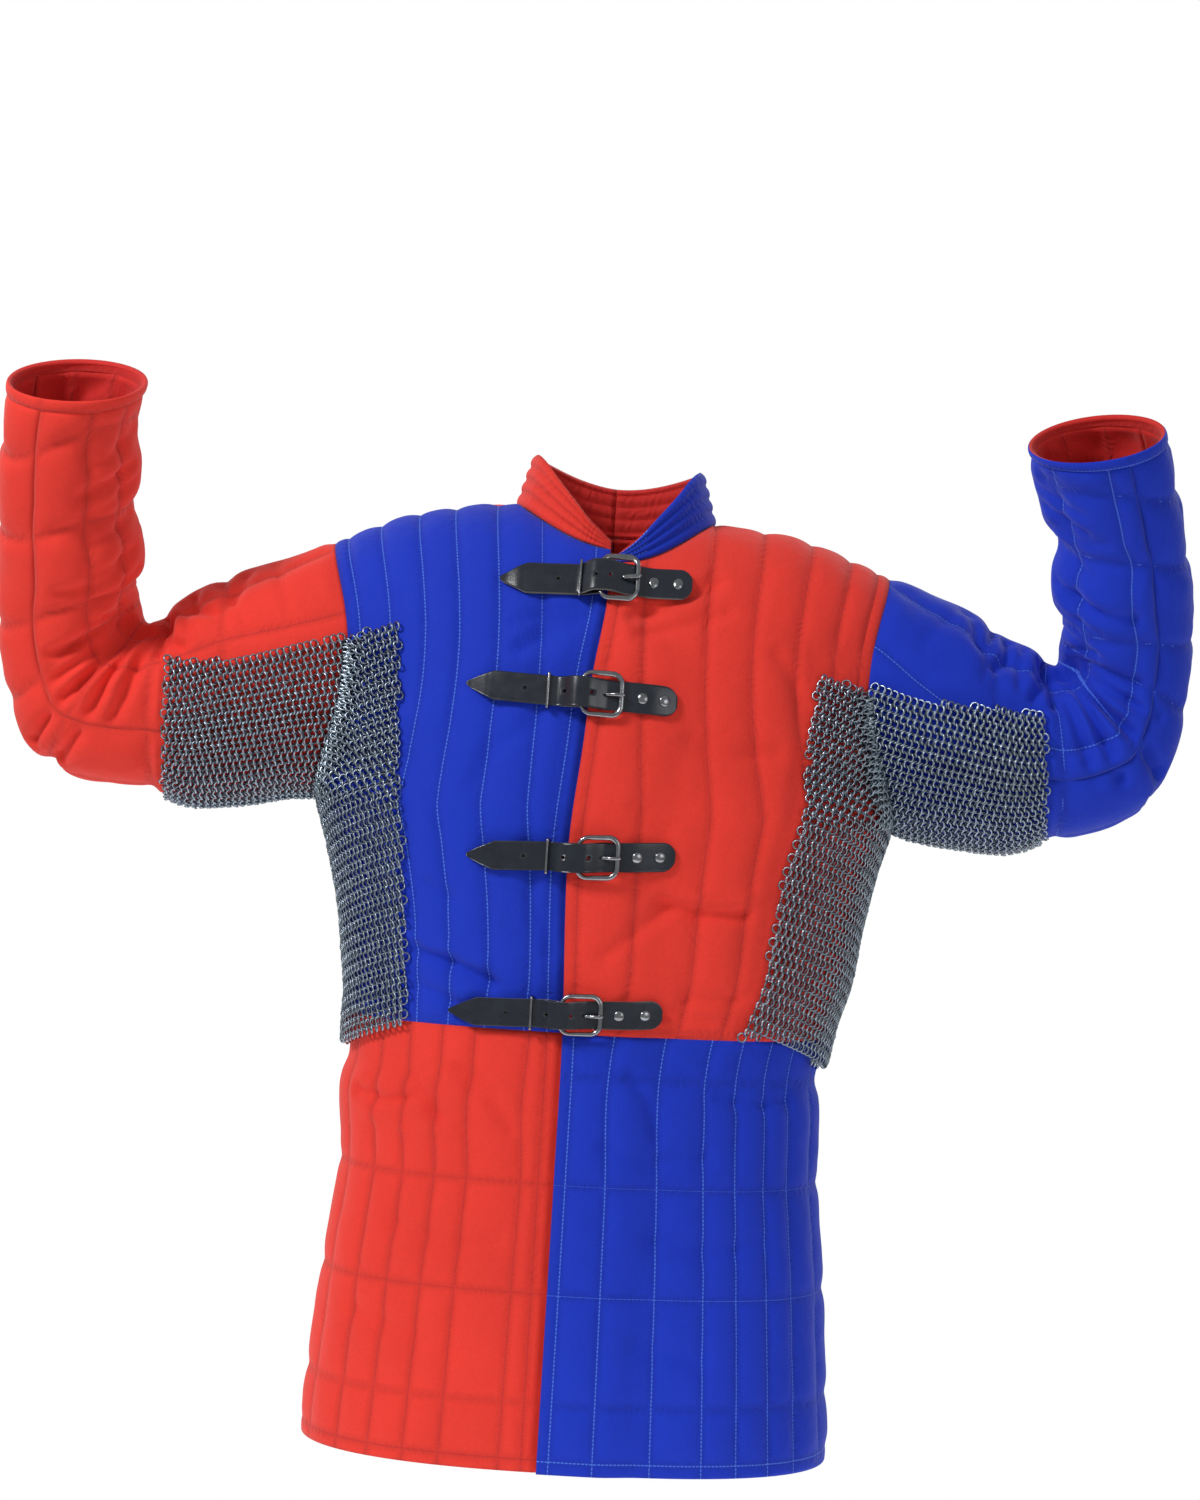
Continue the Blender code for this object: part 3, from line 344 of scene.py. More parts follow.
def cotton(name, colour, thread):
    """Dyed cotton twill, with puckers, a running stitch along its quilting and painted shade along its
    sewn-down grooves.
    """
    made, tree, shader, place = new_material(name)

    def sum_of(kind, a, b=0.0, c=0.0):
        return add_node(tree, "ShaderNodeMath", {0: a, 1: b, 2: c}, operation=kind).outputs[0]

    near = add_node(tree, "ShaderNodeAttribute", attribute_name="quilt")
    near = add_node(tree, "ShaderNodeSeparateXYZ", {0: near.outputs["Vector"]}).outputs
    cut = add_node(tree, "ShaderNodeUVMap", uv_map="cloth").outputs["UV"]
    cut = add_node(tree, "ShaderNodeSeparateXYZ", {0: cut}).outputs
    broad = spots_of(tree, place, 11.0, 4.0)
    fibre = spots_of(tree, place, 420.0, 2.0)
    rumple = spots_of(tree, place, 52.0, 3.0, Roughness=0.6)

    stitches, height = None, sum_of("MULTIPLY", rumple, 0.0011)
    for gap, run in ((near[0], cut[1]), (near[1], cut[0])):
        on_line = sum_of("LESS_THAN", gap, 0.00055)
        dash = sum_of("LESS_THAN", sum_of("FRACT", sum_of("MULTIPLY", run, 285.0)), 0.72)
        stitch = sum_of("MULTIPLY", on_line, dash)
        stitches = stitch if stitches is None else sum_of("MAXIMUM", stitches, stitch)
        fade = ramp(tree, gap, 0.0, 0.009, 1.0, 0.0, interpolation_type="SMOOTHSTEP")
        wave = sum_of("SINE", sum_of("ADD", sum_of("MULTIPLY", run, 560.0), sum_of("MULTIPLY", broad, 95.0)))
        height = sum_of("ADD", height, sum_of("MULTIPLY", sum_of("MULTIPLY", wave, fade), 0.0002))
    warp = sum_of("SINE", sum_of("MULTIPLY", sum_of("ADD", cut[0], cut[1]), 5600.0))
    weft = sum_of("SINE", sum_of("MULTIPLY", cut[1], 7400.0))
    weave = sum_of("MULTIPLY", sum_of("ADD", warp, weft), 0.000022)
    height = sum_of("ADD", sum_of("ADD", height, weave), sum_of("MULTIPLY", stitches, 0.00025))
    raise_surface(tree, shader, 1.0, 1.0, height)

    worn = sum_of("ADD", sum_of("MULTIPLY", broad, 0.22), sum_of("MULTIPLY", fibre, 0.16))
    worn = sum_of("ADD", worn, 0.81)
    # Painted shade: the colour darkens within 7 mm of each sewn-down line, as if the grooves between the
    # channels lay in shadow.
    groove_shade = ramp(tree, near[2], 0.0, 0.007, 0.86, 1.0, interpolation_type="SMOOTHSTEP")
    tone = sum_of("MULTIPLY", worn, groove_shade)
    shades = add_node(tree, "ShaderNodeCombineColor", {0: tone, 1: tone, 2: tone}).outputs[0]
    dyed_and_shaded = add_node(
        tree, "ShaderNodeMix", {"Factor": 1.0, 6: (*colour, 1), 7: shades},
        data_type="RGBA", blend_type="MULTIPLY",
    )
    sewn = add_node(
        tree, "ShaderNodeMix", {"Factor": stitches, 6: dyed_and_shaded.outputs[2], 7: (*thread, 1)}, data_type="RGBA"
    )
    tree.links.new(sewn.outputs[2], shader.inputs["Base Color"])
    shader.inputs["Roughness"].default_value = 0.82
    shader.inputs["Specular IOR Level"].default_value = 0.28
    shader.inputs["Sheen Weight"].default_value = 0.12
    shader.inputs["Sheen Roughness"].default_value = 0.45
    return made


CLOTHS = {
    "red": cotton("red_cotton", RED, (0.62, 0.03, 0.03)),
    "blue": cotton("blue_cotton", BLUE, (0.08, 0.20, 0.85)),
    "lining": cotton("red_lining", (0.70, 0.03, 0.025), (0.5, 0.02, 0.02)),
}


def fold(places, points, width, depth):
    """How far a soft fold along a run of points dips, at each of the places."""
    nearest = np.full(len(places), 1e9)
    for a, b in zip(points, points[1:]):
        a, b = np.array(a), np.array(b)
        f = np.clip((places - a) @ (b - a) / ((b - a) @ (b - a)), 0, 1)
        nearest = np.minimum(nearest, np.linalg.norm(places - a - f[:, None] * (b - a), axis=1))
    return depth * np.exp(-((nearest / width) ** 2))


def put_on(bm, name, nodes, slot, *materials):
    """A mesh made into a piece of the coat, which stands for its nodes."""
    mesh = bpy.data.meshes.new(name)
    bm.to_mesh(mesh)
    bm.free()
    for material in materials:
        mesh.materials.append(material)
    piece = bpy.data.objects.new(name, mesh)
    bpy.context.scene.collection.objects.link(piece)
    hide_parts(*nodes)
    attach(piece, "root")
    return piece


def quilted(
    name, nodes, columns, rows, place, colour, grooves, threads=(), cross=lambda i: (), cross_depth=0.8,
    puff=PUFF, calm=lambda i, j: 1.0, shape=None, folds=(), ends=(True, True), cap=NO_CAP, rumple=0.8,
    closed=False, wall=WALL, lift=lambda p: 0.0,
):
    """A quilted piece on a grid: place(i, j) gives a point and the way out in millimetres, grooves are the
    columns that are sewn down, and cross(i) gives the rows at which a column is sewn down."""
    points, outs = np.zeros((columns + 1, rows + 1, 3)), np.zeros((columns + 1, rows + 1, 3))
    quiet = np.ones((columns + 1, rows + 1))
    raised = np.zeros((columns + 1, rows + 1))
    for i in range(columns + 1):
        for j in range(rows + 1):
            p, n = place(i, j)
            points[i, j], outs[i, j], quiet[i, j], raised[i, j] = p, n, calm(i, j), lift(p)
    across = np.zeros(points.shape[:2])
    across[1:] = np.cumsum(np.linalg.norm(np.diff(points, axis=0), axis=2), axis=0)
    along = np.zeros(points.shape[:2])
    along[:, 1:] = np.cumsum(np.linalg.norm(np.diff(points, axis=1), axis=2), axis=1)

    rise = np.zeros_like(across)
    for a, b in zip(grooves, grooves[1:]):
        width = np.maximum(across[b] - across[a], 1e-6)
        f = (across[a : b + 1] - across[a]) / width
        rise[a : b + 1] = puff * np.minimum(width / FULL_CHANNEL, 1) ** 0.8 * (1 - np.abs(2 * f - 1) ** 2.4)
    sewn_across = np.full_like(across, FAR)
    for i in range(columns + 1):
        for row in cross(i):
            spot = np.interp(row, range(rows + 1), along[i])
            sewn_across[i] = np.minimum(sewn_across[i], np.abs(along[i] - spot))
    rise *= 1 - cross_depth * np.exp(-((sewn_across / CROSS_REACH) ** 1.5))
    ends_at = np.minimum(along if ends[0] else FAR, along[:, -1:] - along if ends[1] else FAR)
    rise *= 1 - np.exp(-((ends_at / END_REACH) ** 1.6))
    edges_at = np.minimum(ends_at, np.minimum(across, across[-1] - across)) if not closed else ends_at
    settled = 1 - np.exp(-((edges_at / EDGE_REACH) ** 2))
    flat_points = points.reshape(-1, 3)
    if rumple:
        soft = np.array([
            noise.noise(Vector(p) / 34) * 1.15 + noise.noise(Vector(p) / 15 + Vector((9, 3, 1))) * 0.5
            for p in flat_points
        ]).reshape(across.shape)
        rise += rumple * soft * settled
    fading = 1 - np.exp(-((edges_at / 9.0) ** 2))
    for run, width, depth in folds:
        rise -= fold(flat_points, run, width, depth).reshape(across.shape) * fading
    if shape is not None:
        rise += shape(across, along)
    rise *= quiet
    rise = np.minimum(rise, cap) + raised
    final = (points + outs * rise[..., None]) * MM

    lengthwise = np.full_like(across, FAR)
    for i in threads:
        lengthwise = np.minimum(lengthwise, np.abs(across - across[i]))
    # The distance to the nearest sewn line goes to the cloth shader, which uses it to paint shade along the
    # grooves.
    groove_shade_distance = np.minimum(lengthwise, sewn_across)
    for i in grooves:
        groove_shade_distance = np.minimum(groove_shade_distance, np.abs(across - across[i]))

    bm = bmesh.new()
    bmesh.ops.create_grid(bm, x_segments=columns, y_segments=rows, size=0.5)
    quilt = bm.verts.layers.float_vector.new("quilt")
    cloth_map = bm.loops.layers.uv.new("cloth")
    at = {}
    for v in bm.verts:
        i, j = round((v.co.x + 0.5) * columns), round((v.co.y + 0.5) * rows)
        at[v] = (i, j)
        v.co = final[i, j]
        v[quilt] = (lengthwise[i, j] * MM, sewn_across[i, j] * MM, groove_shade_distance[i, j] * MM)
    for face in bm.faces:
        face.smooth = True
        for loop in face.loops:
            i, j = at[loop.vert]
            loop[cloth_map].uv = (across[i, j] * MM, along[i, j] * MM)
    middle = final[columns // 2, rows // 2]
    sample = min(bm.faces, key=lambda f: (f.calc_center_median() - Vector(middle)).length)
    sample.normal_update()
    if sample.normal.dot(Vector(outs[columns // 2, rows // 2])) < 0:
        bmesh.ops.reverse_faces(bm, faces=bm.faces)
    if closed:
        bmesh.ops.remove_doubles(bm, verts=bm.verts, dist=1e-6)
    piece = put_on(bm, name, nodes, f"cloth_{colour}", CLOTHS[colour], CLOTHS["lining"])
    thickness = piece.modifiers.new("wall", "SOLIDIFY")
    thickness.thickness, thickness.offset = wall * MM, -1.0
    thickness.material_offset, thickness.material_offset_rim = 1, 1
    return piece


def begin_at(side, face, z):
    """Angles of a quarter's free edge and of the sewing beside it at a height."""
    if face == BACK:
        return [0.0]
    edge = track(EDGE, "x", z)
    if side == LEFT:
        return [angle_at(side, face, z, edge), angle_at(side, face, z, edge + 10)]
    return [angle_at(side, face, z, x) for x in (under_edge(z), edge - 3, edge - 14)]


def on_front(side, run, face=FRONT):
    """Places on the body's cloth over a run of (x, z) points."""
    places = []
    for (x0, z0), (x1, z1) in zip(run, run[1:]):
        for k in range(5):
            x, z = x0 + (x1 - x0) * k / 5, z0 + (z1 - z0) * k / 5
            places.append(at_height(side, face, angle_at(side, face, z, x), z)[0])
    x, z = run[-1]
    places.append(at_height(side, face, angle_at(side, face, z, x), z)[0])
    return places


def quarter_columns(side, face, lines, z):
    """A quarter's columns. angle_of gives the angle of a sewn one at a height, fine holds every column as
    the sewn one before it and its share of the way to the next, and at says where the sewn ones are."""
    angles = [None] * len(begin_at(side, face, z)) + list(lines) + [90.0]

    def angle_of(k, z):
        return angles[k] if angles[k] is not None else begin_at(side, face, z)[k]

    fine, at = [], [0]
    for k in range(len(angles) - 1):
        a, b = (body(side, face, angle_of(m, z), z - ARMPIT_Z) for m in (k, k + 1))
        n = max(2 * round((a - b).length / COLUMN_GAP / 2), 2)
        fine += [(k, m / n) for m in range(n)]
        at.append(len(fine))
    fine.append((len(angles) - 2, 1.0))
    return angle_of, fine, at


def lap_lift(side, face, p):
    """The lapping front stands off, and the edge under it is pressed in."""
    if (face, side) == (FRONT, LEFT):
        return lap_rise(p.x, p.z)
    if (face, side) == (FRONT, RIGHT):
        return -1.2 * ease((-80 - p.z) / 20) * ease((p.x - track(EDGE, "x", p.z) + 3) / 4)
    return 0.0


def creases(side, face, folds):
    return [
        (on_front(side, run, face), FOLD_WIDTH * width, FOLD_DEPTH * depth) for run, width, depth in folds
    ]


BODY_LINES = {
    (FRONT, RIGHT): (10.7, 15.85, 19.8, 29.7, 39.8, 53, 70), (FRONT, LEFT): (4.2, 16.3, 27.6, 40.9, 55.5, 71),
    (BACK, RIGHT): (5, 15.85, 28, 41, 55.5, 72), (BACK, LEFT): (5, 16.3, 28, 41, 55.5, 72),
}
BODY_FOLDS = {
    (FRONT, RIGHT): (
        ([(-160, -398), (-120, -408), (-85, -422)], 8, 4.2),
        ([(-165, -384), (-118, -394), (-92, -404)], 7, -2.4),
        ([(-172, -428), (-140, -432), (-110, -446)], 7, 2.6),
        ([(-62, -300), (-52, -345), (-36, -392)], 10, 1.6),
        ([(-25, -95), (-52, -108), (-80, -128)], 8, 2.6), ([(-45, -92), (-85, -104)], 7, 1.8),
        ([(-168, -230), (-148, -262)], 9, 1.8), ([(-60, -190), (-95, -215), (-110, -245)], 11, 1.5),
        ([(-150, -338), (-120, -352)], 8, 1.6), ([(-100, -440), (-80, -452)], 6, 1.6),
    ),
    (FRONT, LEFT): (
        ([(60, -343), (95, -352), (130, -350)], 9, 3.0), ([(58, -330), (96, -338), (134, -336)], 8, -1.8),
        ([(20, -95), (55, -78), (95, -60)], 9, 2.8), ([(25, -112), (62, -100), (105, -86)], 8, 1.6),
        ([(12, -392), (34, -372), (62, -350)], 9, 1.8), ([(85, -428), (140, -424)], 8, 1.8),
        ([(45, -445), (75, -440), (108, -446)], 7, 1.6), ([(78, -200), (110, -214), (150, -206)], 12, 1.6),
        ([(30, -262), (58, -280)], 9, 1.3), ([(150, -120), (172, -150), (180, -190)], 11, 1.8),
    ),
    (BACK, RIGHT): (
        ([(-30, -120), (-90, -140), (-140, -130)], 14, 2.4),
        ([(-40, -380), (-90, -392), (-150, -384)], 10, 2.6),
        ([(-30, -425), (-80, -420), (-120, -432)], 8, 2.0),
        ([(-150, -180), (-172, -220), (-180, -260)], 12, 2.0),
        ([(-60, -250), (-100, -270)], 10, 1.4),
    ),
    (BACK, LEFT): (
        ([(40, -130), (95, -146), (150, -128)], 14, 2.2), ([(50, -372), (100, -386), (160, -376)], 10, 2.8),
        ([(30, -418), (70, -428), (130, -424)], 8, 2.0), ([(148, -176), (170, -214), (184, -256)], 12, 2.0),
        ([(40, -300), (84, -310)], 10, 1.4),
    ),
}


def body_quarter(name, node, side, face, colour):
    opening = len(begin_at(side, face, -200))
    angle_of, fine, at = quarter_columns(side, face, BODY_LINES[face, side], -330)
    under = (face, side) == (FRONT, RIGHT)
    low_rows, high_rows = 54, 86
    necks = {}

    def neck_at(t):
        if t > max(NECK_TURN.values()) + 0.1:
            return 90.0
        k = math.floor(max(t, 0) / 0.2)
        for m in (k, k + 1):
            if m not in necks:
                necks[m] = neck(side, face, m * 0.2)
        f = max(t, 0) / 0.2 - k
        return necks[k] * (1 - f) + necks[k + 1] * f

    def spot(i, j):
        k, f = fine[i]
        if j <= low_rows:
            z = WAIST_Z + (ARMPIT_Z - WAIST_Z) * j / low_rows
            return angle_of(k, z) * (1 - f) + angle_of(k + 1, z) * f, z - ARMPIT_Z
        share = float(even_climb(side, face, high_rows)[j - low_rows])
        z = -200.0
        for _ in range(4 if k < opening else 1):
            t = angle_of(k, z) * (1 - f) + angle_of(k + 1, z) * f
            z = body(side, face, t, neck_at(t) * share).z
        return t, neck_at(t) * share

    spots = {(i, j): spot(i, j) for i in range(len(fine)) for j in range(low_rows + high_rows + 1)}

    def place(i, j):
        t, g = spots[i, j]
        return body(side, face, t, g), body_normal(side, face, t, g)

    def calm(i, j):
        t, g = spots[i, j]
        z = body(side, face, t, g).z
        hidden = HIDDEN if under and i < at[1] else 1.0
        return hidden * (UNDER_MAIL + (1 - UNDER_MAIL) * under_mail(side, t, z))

    corner = at[opening + 1] if under else None
    at = [column for column in at if column != corner]
    return quilted(
        name, [node], len(fine) - 1, low_rows + high_rows, place, colour, at[under:], at[under + 1 : -1],
        cross=lambda i: (1.4,), cross_depth=0.4, calm=calm, lift=lambda p: lap_lift(side, face, p),
        cap=FRONT_CAP if face == FRONT else NO_CAP, folds=creases(side, face, BODY_FOLDS[face, side]),
    )


body_quarter("coat_front_right", "front_right", RIGHT, FRONT, "blue")
body_quarter("coat_front_left", "front_left", LEFT, FRONT, "red")
body_quarter("coat_back_right", "back_right", RIGHT, BACK, "red")
body_quarter("coat_back_left", "back_left", LEFT, BACK, "blue")

# The skirt's four quarters are sewn on at the waist in the other colour. Level lines cross their upright
# channels, the hem is plain, and the lining shows as a thin edge where the lapping front ends.
SKIRT_LINES = {
    (FRONT, RIGHT): (9.4, 22, 31.1, 41.8, 53.9, 71), (FRONT, LEFT): (3.6, 13.9, 25.5, 34.9, 45.2, 55.9, 72),
    (BACK, RIGHT): (10, 20, 31, 43, 56, 72), (BACK, LEFT): (10, 20, 31, 43, 56, 72),
}
SKIRT_CROSS = (-500, -595, -690, -785)
SKIRT_FOLDS = {
    (FRONT, RIGHT): (
        ([(-170, -492), (-150, -512), (-125, -545)], 8, 3.2),
        ([(-200, -528), (-172, -534), (-150, -528)], 7, 3.0),
        ([(-190, -545), (-160, -556), (-120, -550)], 8, -2.2),
        ([(-110, -500), (-80, -520), (-62, -548)], 9, 2.4),
        ([(-160, -640), (-110, -655), (-70, -648)], 12, 2.0), ([(-190, -720), (-140, -735)], 13, 2.0),
    ),
    (FRONT, LEFT): (
        ([(40, -496), (58, -520), (66, -548)], 8, 2.0), ([(120, -512), (150, -520), (178, -514)], 8, 2.2),
        ([(20, -560), (60, -572), (110, -566)], 10, 1.8), ([(70, -640), (120, -650), (160, -640)], 12, 2.0),
        ([(60, -730), (110, -742)], 13, 1.8), ([(0, -478), (20, -482)], 6, 1.6),
    ),
    (BACK, RIGHT): (
        ([(-40, -500), (-90, -516), (-140, -508)], 9, 2.4), ([(-60, -560), (-120, -566)], 10, 2.0),
        ([(-60, -650), (-130, -662)], 13, 2.2),
    ),
    (BACK, LEFT): (
        ([(50, -496), (100, -510), (150, -500)], 9, 2.4), ([(40, -552), (110, -560)], 10, 2.0),
        ([(50, -640), (120, -655)], 13, 2.2),
    ),
}


def skirt_quarter(name, node, side, face, colour):
    angle_of, fine, at = quarter_columns(side, face, SKIRT_LINES[face, side], -600)
    under = (face, side) == (FRONT, RIGHT)
    rows = 104

    def spot(i, j):
        k, f = fine[i]
        z = WAIST_Z + (HEM_Z - WAIST_Z) * j / rows
        return angle_of(k, z) * (1 - f) + angle_of(k + 1, z) * f, z

    def place(i, j):
        t, z = spot(i, j)
        return body(side, face, t, z - ARMPIT_Z), body_normal(side, face, t, z - ARMPIT_Z)

    def calm(i, j):
        t, z = spot(i, j)
        hidden = HIDDEN if under and i < at[1] else 1.0
        clear = max(1 - ease((t - 28) / 10), ease((-500 - z) / 18))
        return hidden * (UNDER_MAIL + (1 - UNDER_MAIL) * clear)

    crossed = SKIRT_CROSS[1:] if under else SKIRT_CROSS
    levels = [(z - WAIST_Z) / (HEM_Z - WAIST_Z) * rows for z in crossed] + [rows - 3.0]
    return quilted(
        name, [node], len(fine) - 1, rows, place, colour, at[under:], at[under + 1 : -1],
        cross=lambda i: levels, calm=calm, lift=lambda p: lap_lift(side, face, p),
        cap=FRONT_CAP if face == FRONT else NO_CAP, folds=creases(side, face, SKIRT_FOLDS[face, side]),
    )


skirt_quarter("coat_skirt_front_right", "skirt_front_right", RIGHT, FRONT, "red")
skirt_quarter("coat_skirt_front_left", "skirt_front_left", LEFT, FRONT, "blue")
skirt_quarter("coat_skirt_back_right", "skirt_back_right", RIGHT, BACK, "blue")
skirt_quarter("coat_skirt_back_left", "skirt_back_left", LEFT, BACK, "red")

# The stand collar is two halves of the same quilting laid level, four channels high, low at the throat and
# rising to the nape. Its top is turned over the lining, which shows as a thin red edge.
COLLAR = table(
    "angle height lean",
    (0, 5, 0), (12, 18, 3), (25, 33, 7), (40, 43, 11), (60, 50, 15), (90, 50, 16), (135, 48, 13),
    (180, 46, 10),
)
COLLAR_LINES = (0.0, 0.27, 0.52, 0.77, 1.0)


def collar_half(name, node, side, colour):
    turn = NECK_TURN[side]
    first = angle_at(side, FRONT, -30, track(EDGE, "x", -30) - (0.8 if side == RIGHT else 0))
    path = [(FRONT, first + (turn - first) * k / 34) for k in range(35)]
    path += [(BACK, turn * (1 - k / 26)) for k in range(1, 27)]
    rows = 24
    bases = []
    for face, t in path:
        foot = body(side, face, t, neck(side, face, round(t, 6)))
        angle = math.degrees(math.atan2(max(side * foot.x, 0) / NECK_HALF, -foot.y / NECK_DEPTH[face, side]))
        lean = math.radians(track(COLLAR, "lean", angle))
        out = Vector((side * math.sin(math.radians(angle)), -math.cos(math.radians(angle)), 0))
        rising = Vector((0, 0, math.cos(lean))) - out * math.sin(lean)
        bases.append((foot, out, rising * track(COLLAR, "height", angle), angle))

    def place(i, j):
        foot, out, rising, angle = bases[i]
        return foot + rising * (j / rows), out

    def shape(across, along):
        puffed = np.zeros_like(across)
        for i, (foot, out, rising, angle) in enumerate(bases):
            for j in range(rows + 1):
                u = j / rows
                k = min(max(bisect(COLLAR_LINES, u) - 1, 0), 3)
                f = (u - COLLAR_LINES[k]) / (COLLAR_LINES[k + 1] - COLLAR_LINES[k])
                puffed[i, j] = 2.6 * (1 - abs(2 * f - 1) ** 2.2) * ease(angle / 14)
        return puffed

    return quilted(
        name, [node], len(path) - 1, rows, place, colour, [0, len(path) - 1], puff=0.0, shape=shape,
        rumple=0.5, cross=lambda i: [u * rows for u in COLLAR_LINES[1:4]] + [rows - 0.5],
        ends=(False, False), wall=4.6,
    )


collar_half("coat_collar_right", "collar_right", RIGHT, "red")
collar_half("coat_collar_left", "collar_left", LEFT, "blue")

# Each sleeve is two pieces of quilting bent at the elbow, with level lines across its channels, deep folds
# that fan out from the crook of the arm, and a turned band at the wrist.
SLEEVES = {
    RIGHT: table(
        "row inner_x inner_z outer_x outer_z y depth tilt",
        (1, 283, -51, 286, -267, 0, 87, 0), (2, 314, -63, 318, -274, 0, 84, 0),
        (3, 348, -75, 346, -278, 0, 80, 0),
        (4, 378, -91, 374, -280, 0, 75, 0), (5, 396, -104, 397, -274, 0, 71, 0),
        (6, 408, -113, 414, -268, 0, 70, 0),
        (7, 416, -118, 436, -266, 0, 69, 0), (8, 421, -120, 473, -263, 0, 69, 0),
        (9, 425, -119, 500, -254, 0, 69, 2),
        (10, 428, -116, 524, -237, -1, 68, 6), (11, 430, -111, 537, -209, -4, 66, 10),
        (12, 431, -104, 546, -177, -10, 64, 15), (13, 432, -96, 553, -140, -20, 62, 19),
        (14, 434, -86, 554, -104, -32, 60, 23), (15, 428, -68, 553, -77, -44, 61, 24),
        (16, 430, -42, 552, -49, -58, 61, 24), (17, 436, -23, 551, -29, -67, 59, 24),
        (18, 431, 5, 550, -2, -81, 60, 24),
        (19, 430, 25, 549, 17, -91, 60, 24), (20, 433, 50, 545, 45, -104, 59, 24),
        (21, 421, 88, 541, 87, -123, 60, 24),
    ),
    LEFT: table(
        "row inner_x inner_z outer_x outer_z y depth tilt",
        (1, 279, -52, 292, -274, 0, 87, 0), (2, 321, -66, 333, -279, 0, 84, 0),
        (3, 345, -80, 368, -281, 0, 80, 0),
        (4, 364, -92, 389, -277, 0, 75, 0), (5, 388, -101, 407, -269, 0, 71, 0),
        (6, 400, -107, 424, -267, 0, 70, 0),
        (7, 406, -110, 453, -259, 0, 69, 0), (8, 410, -111, 481, -246, 0, 69, 0),
        (9, 413, -109, 506, -227, 0, 69, 2),
        (10, 414, -105, 518, -194, -1, 67, 6), (11, 414, -99, 527, -158, -4, 65, 10),
        (12, 413, -92, 529, -125, -10, 63, 15), (13, 413, -83, 530, -92, -19, 61, 19),
        (14, 414, -72, 527, -64, -31, 59, 23), (15, 404, -52, 523, -38, -43, 61, 24),
        (16, 399, -27, 518, -19, -55, 61, 24), (17, 402, -3, 510, 4, -66, 58, 24),
        (18, 388, 17, 505, 21, -76, 60, 24),
        (19, 381, 33, 500, 38, -86, 60, 24), (20, 373, 52, 491, 62, -98, 60, 24),
        (21, 361, 76, 478, 100, -120, 60, 24),
    ),
}
LAST_ROW, CUFF_ROW = 21, 20.72
ARMHOLE_ROWS = 5  # rows over which the sleeve takes up the armhole's shape
SEAM_FRONT, SEAM_REAR, UNDER_LINE = -111.0, 140.0, 188.0
SLEEVE_LINES = {RIGHT: (-65, -30, 15, 60, 100), LEFT: (-91, -40, 14, 60, 102)}
SLEEVE_CROSS = (3, 6, 9.5, 12, 14, 17, 20)
MAIL_ARM = {
    RIGHT: table("row angle", (0, 78), (1, 78), (3, 75), (5, 64), (6, 60)),
    LEFT: table("row angle", (0, 84), (1, 84), (3, 75), (5, 70), (6, 68)),
}
MAIL_ROWS = 5


@lru_cache(maxsize=None)
def sleeve_ends(side, k):
    if k == 0:
        a, b = body(side, FRONT, 90, 90), body(side, FRONT, 90, 0)
        return (a.x, a.z, b.x, b.z, 0, ARM_HALF, 0)
    rows, i = SLEEVES[side], k - 1
    return (
        side * rows["inner_x"][i], rows["inner_z"][i], side * rows["outer_x"][i], rows["outer_z"][i],
        rows["y"][i], rows["depth"][i], rows["tilt"][i],
    )


@lru_cache(maxsize=None)
def sleeve_section(side, row):
    """Middle, half width and half depth of the sleeve's section at a row."""
    row = min(max(row, 0), LAST_ROW)
    k = min(int(row), LAST_ROW - 1)
    f = row - k
    four = [sleeve_ends(side, m) for m in (max(k - 1, 0), k, k + 1, min(k + 2, LAST_ROW))]
    v = [
        b * (1 + 2 * f) * (1 - f) ** 2 + d * f * f * (3 - 2 * f)
        + 0.5 * ((d - a) * f * (1 - f) ** 2 - (e - b) * f * f * (1 - f))
        for a, b, d, e in zip(*four)
    ]
    inner, outer, tilt = Vector((v[0], 0, v[1])), Vector((v[2], 0, v[3])), math.radians(v[6])
    return (
        (inner + outer) / 2 + Vector((0, v[4], 0)), (inner - outer) / 2,
        Vector((0, math.cos(tilt), math.sin(tilt))) * v[5], row,
    )


def arm(side, angle, row):
    """The sleeve's surface: the angle is 0 at the inner or upper end of a section, 180 at the outer or
    lower end and negative at the front."""
    c, s = math.cos(math.radians(angle)), math.sin(math.radians(angle))
    middle, wide, deep, row = sleeve_section(side, round(row, 5))
    p = middle + wide * c + deep * s
    if row < ARMHOLE_ROWS:
        face = FRONT if s < 0 else BACK
        h = (1 + c) / 2
        start = sleeve_ends(side, 0)
        plain = Vector((
            start[0] + (start[2] - start[0]) * (1 - h), ARM_HALF * s,
            start[1] + (start[3] - start[1]) * (1 - h),
        ))
        p += (body(side, face, 90, 90 * climb_share(face, angle)) - plain) * (1 - row / ARMHOLE_ROWS) ** 1.5
    return p


def arm_normal(side, angle, row):
    along = arm(side, angle + 1.5, row) - arm(side, angle - 1.5, row)
    out = arm(side, angle, min(row + 0.06, LAST_ROW)) - arm(side, angle, max(row - 0.06, 0))
    return (along.cross(out) * -side).normalized()


def sleeve_columns(side):
    """Angles of a sleeve's columns from its front seam round, at the armhole and from its third row on."""
    run = [SEAM_FRONT]
    for a, b in zip((SEAM_FRONT,) + SLEEVE_LINES[side][:4], SLEEVE_LINES[side]):
        run += [(a + b) / 2, b]
    run += [SEAM_REAR, 164, UNDER_LINE, 205, 221, SEAM_FRONT + 360]
    return list(zip([-112.5 + 22.5 * k for k in range(17)], run))


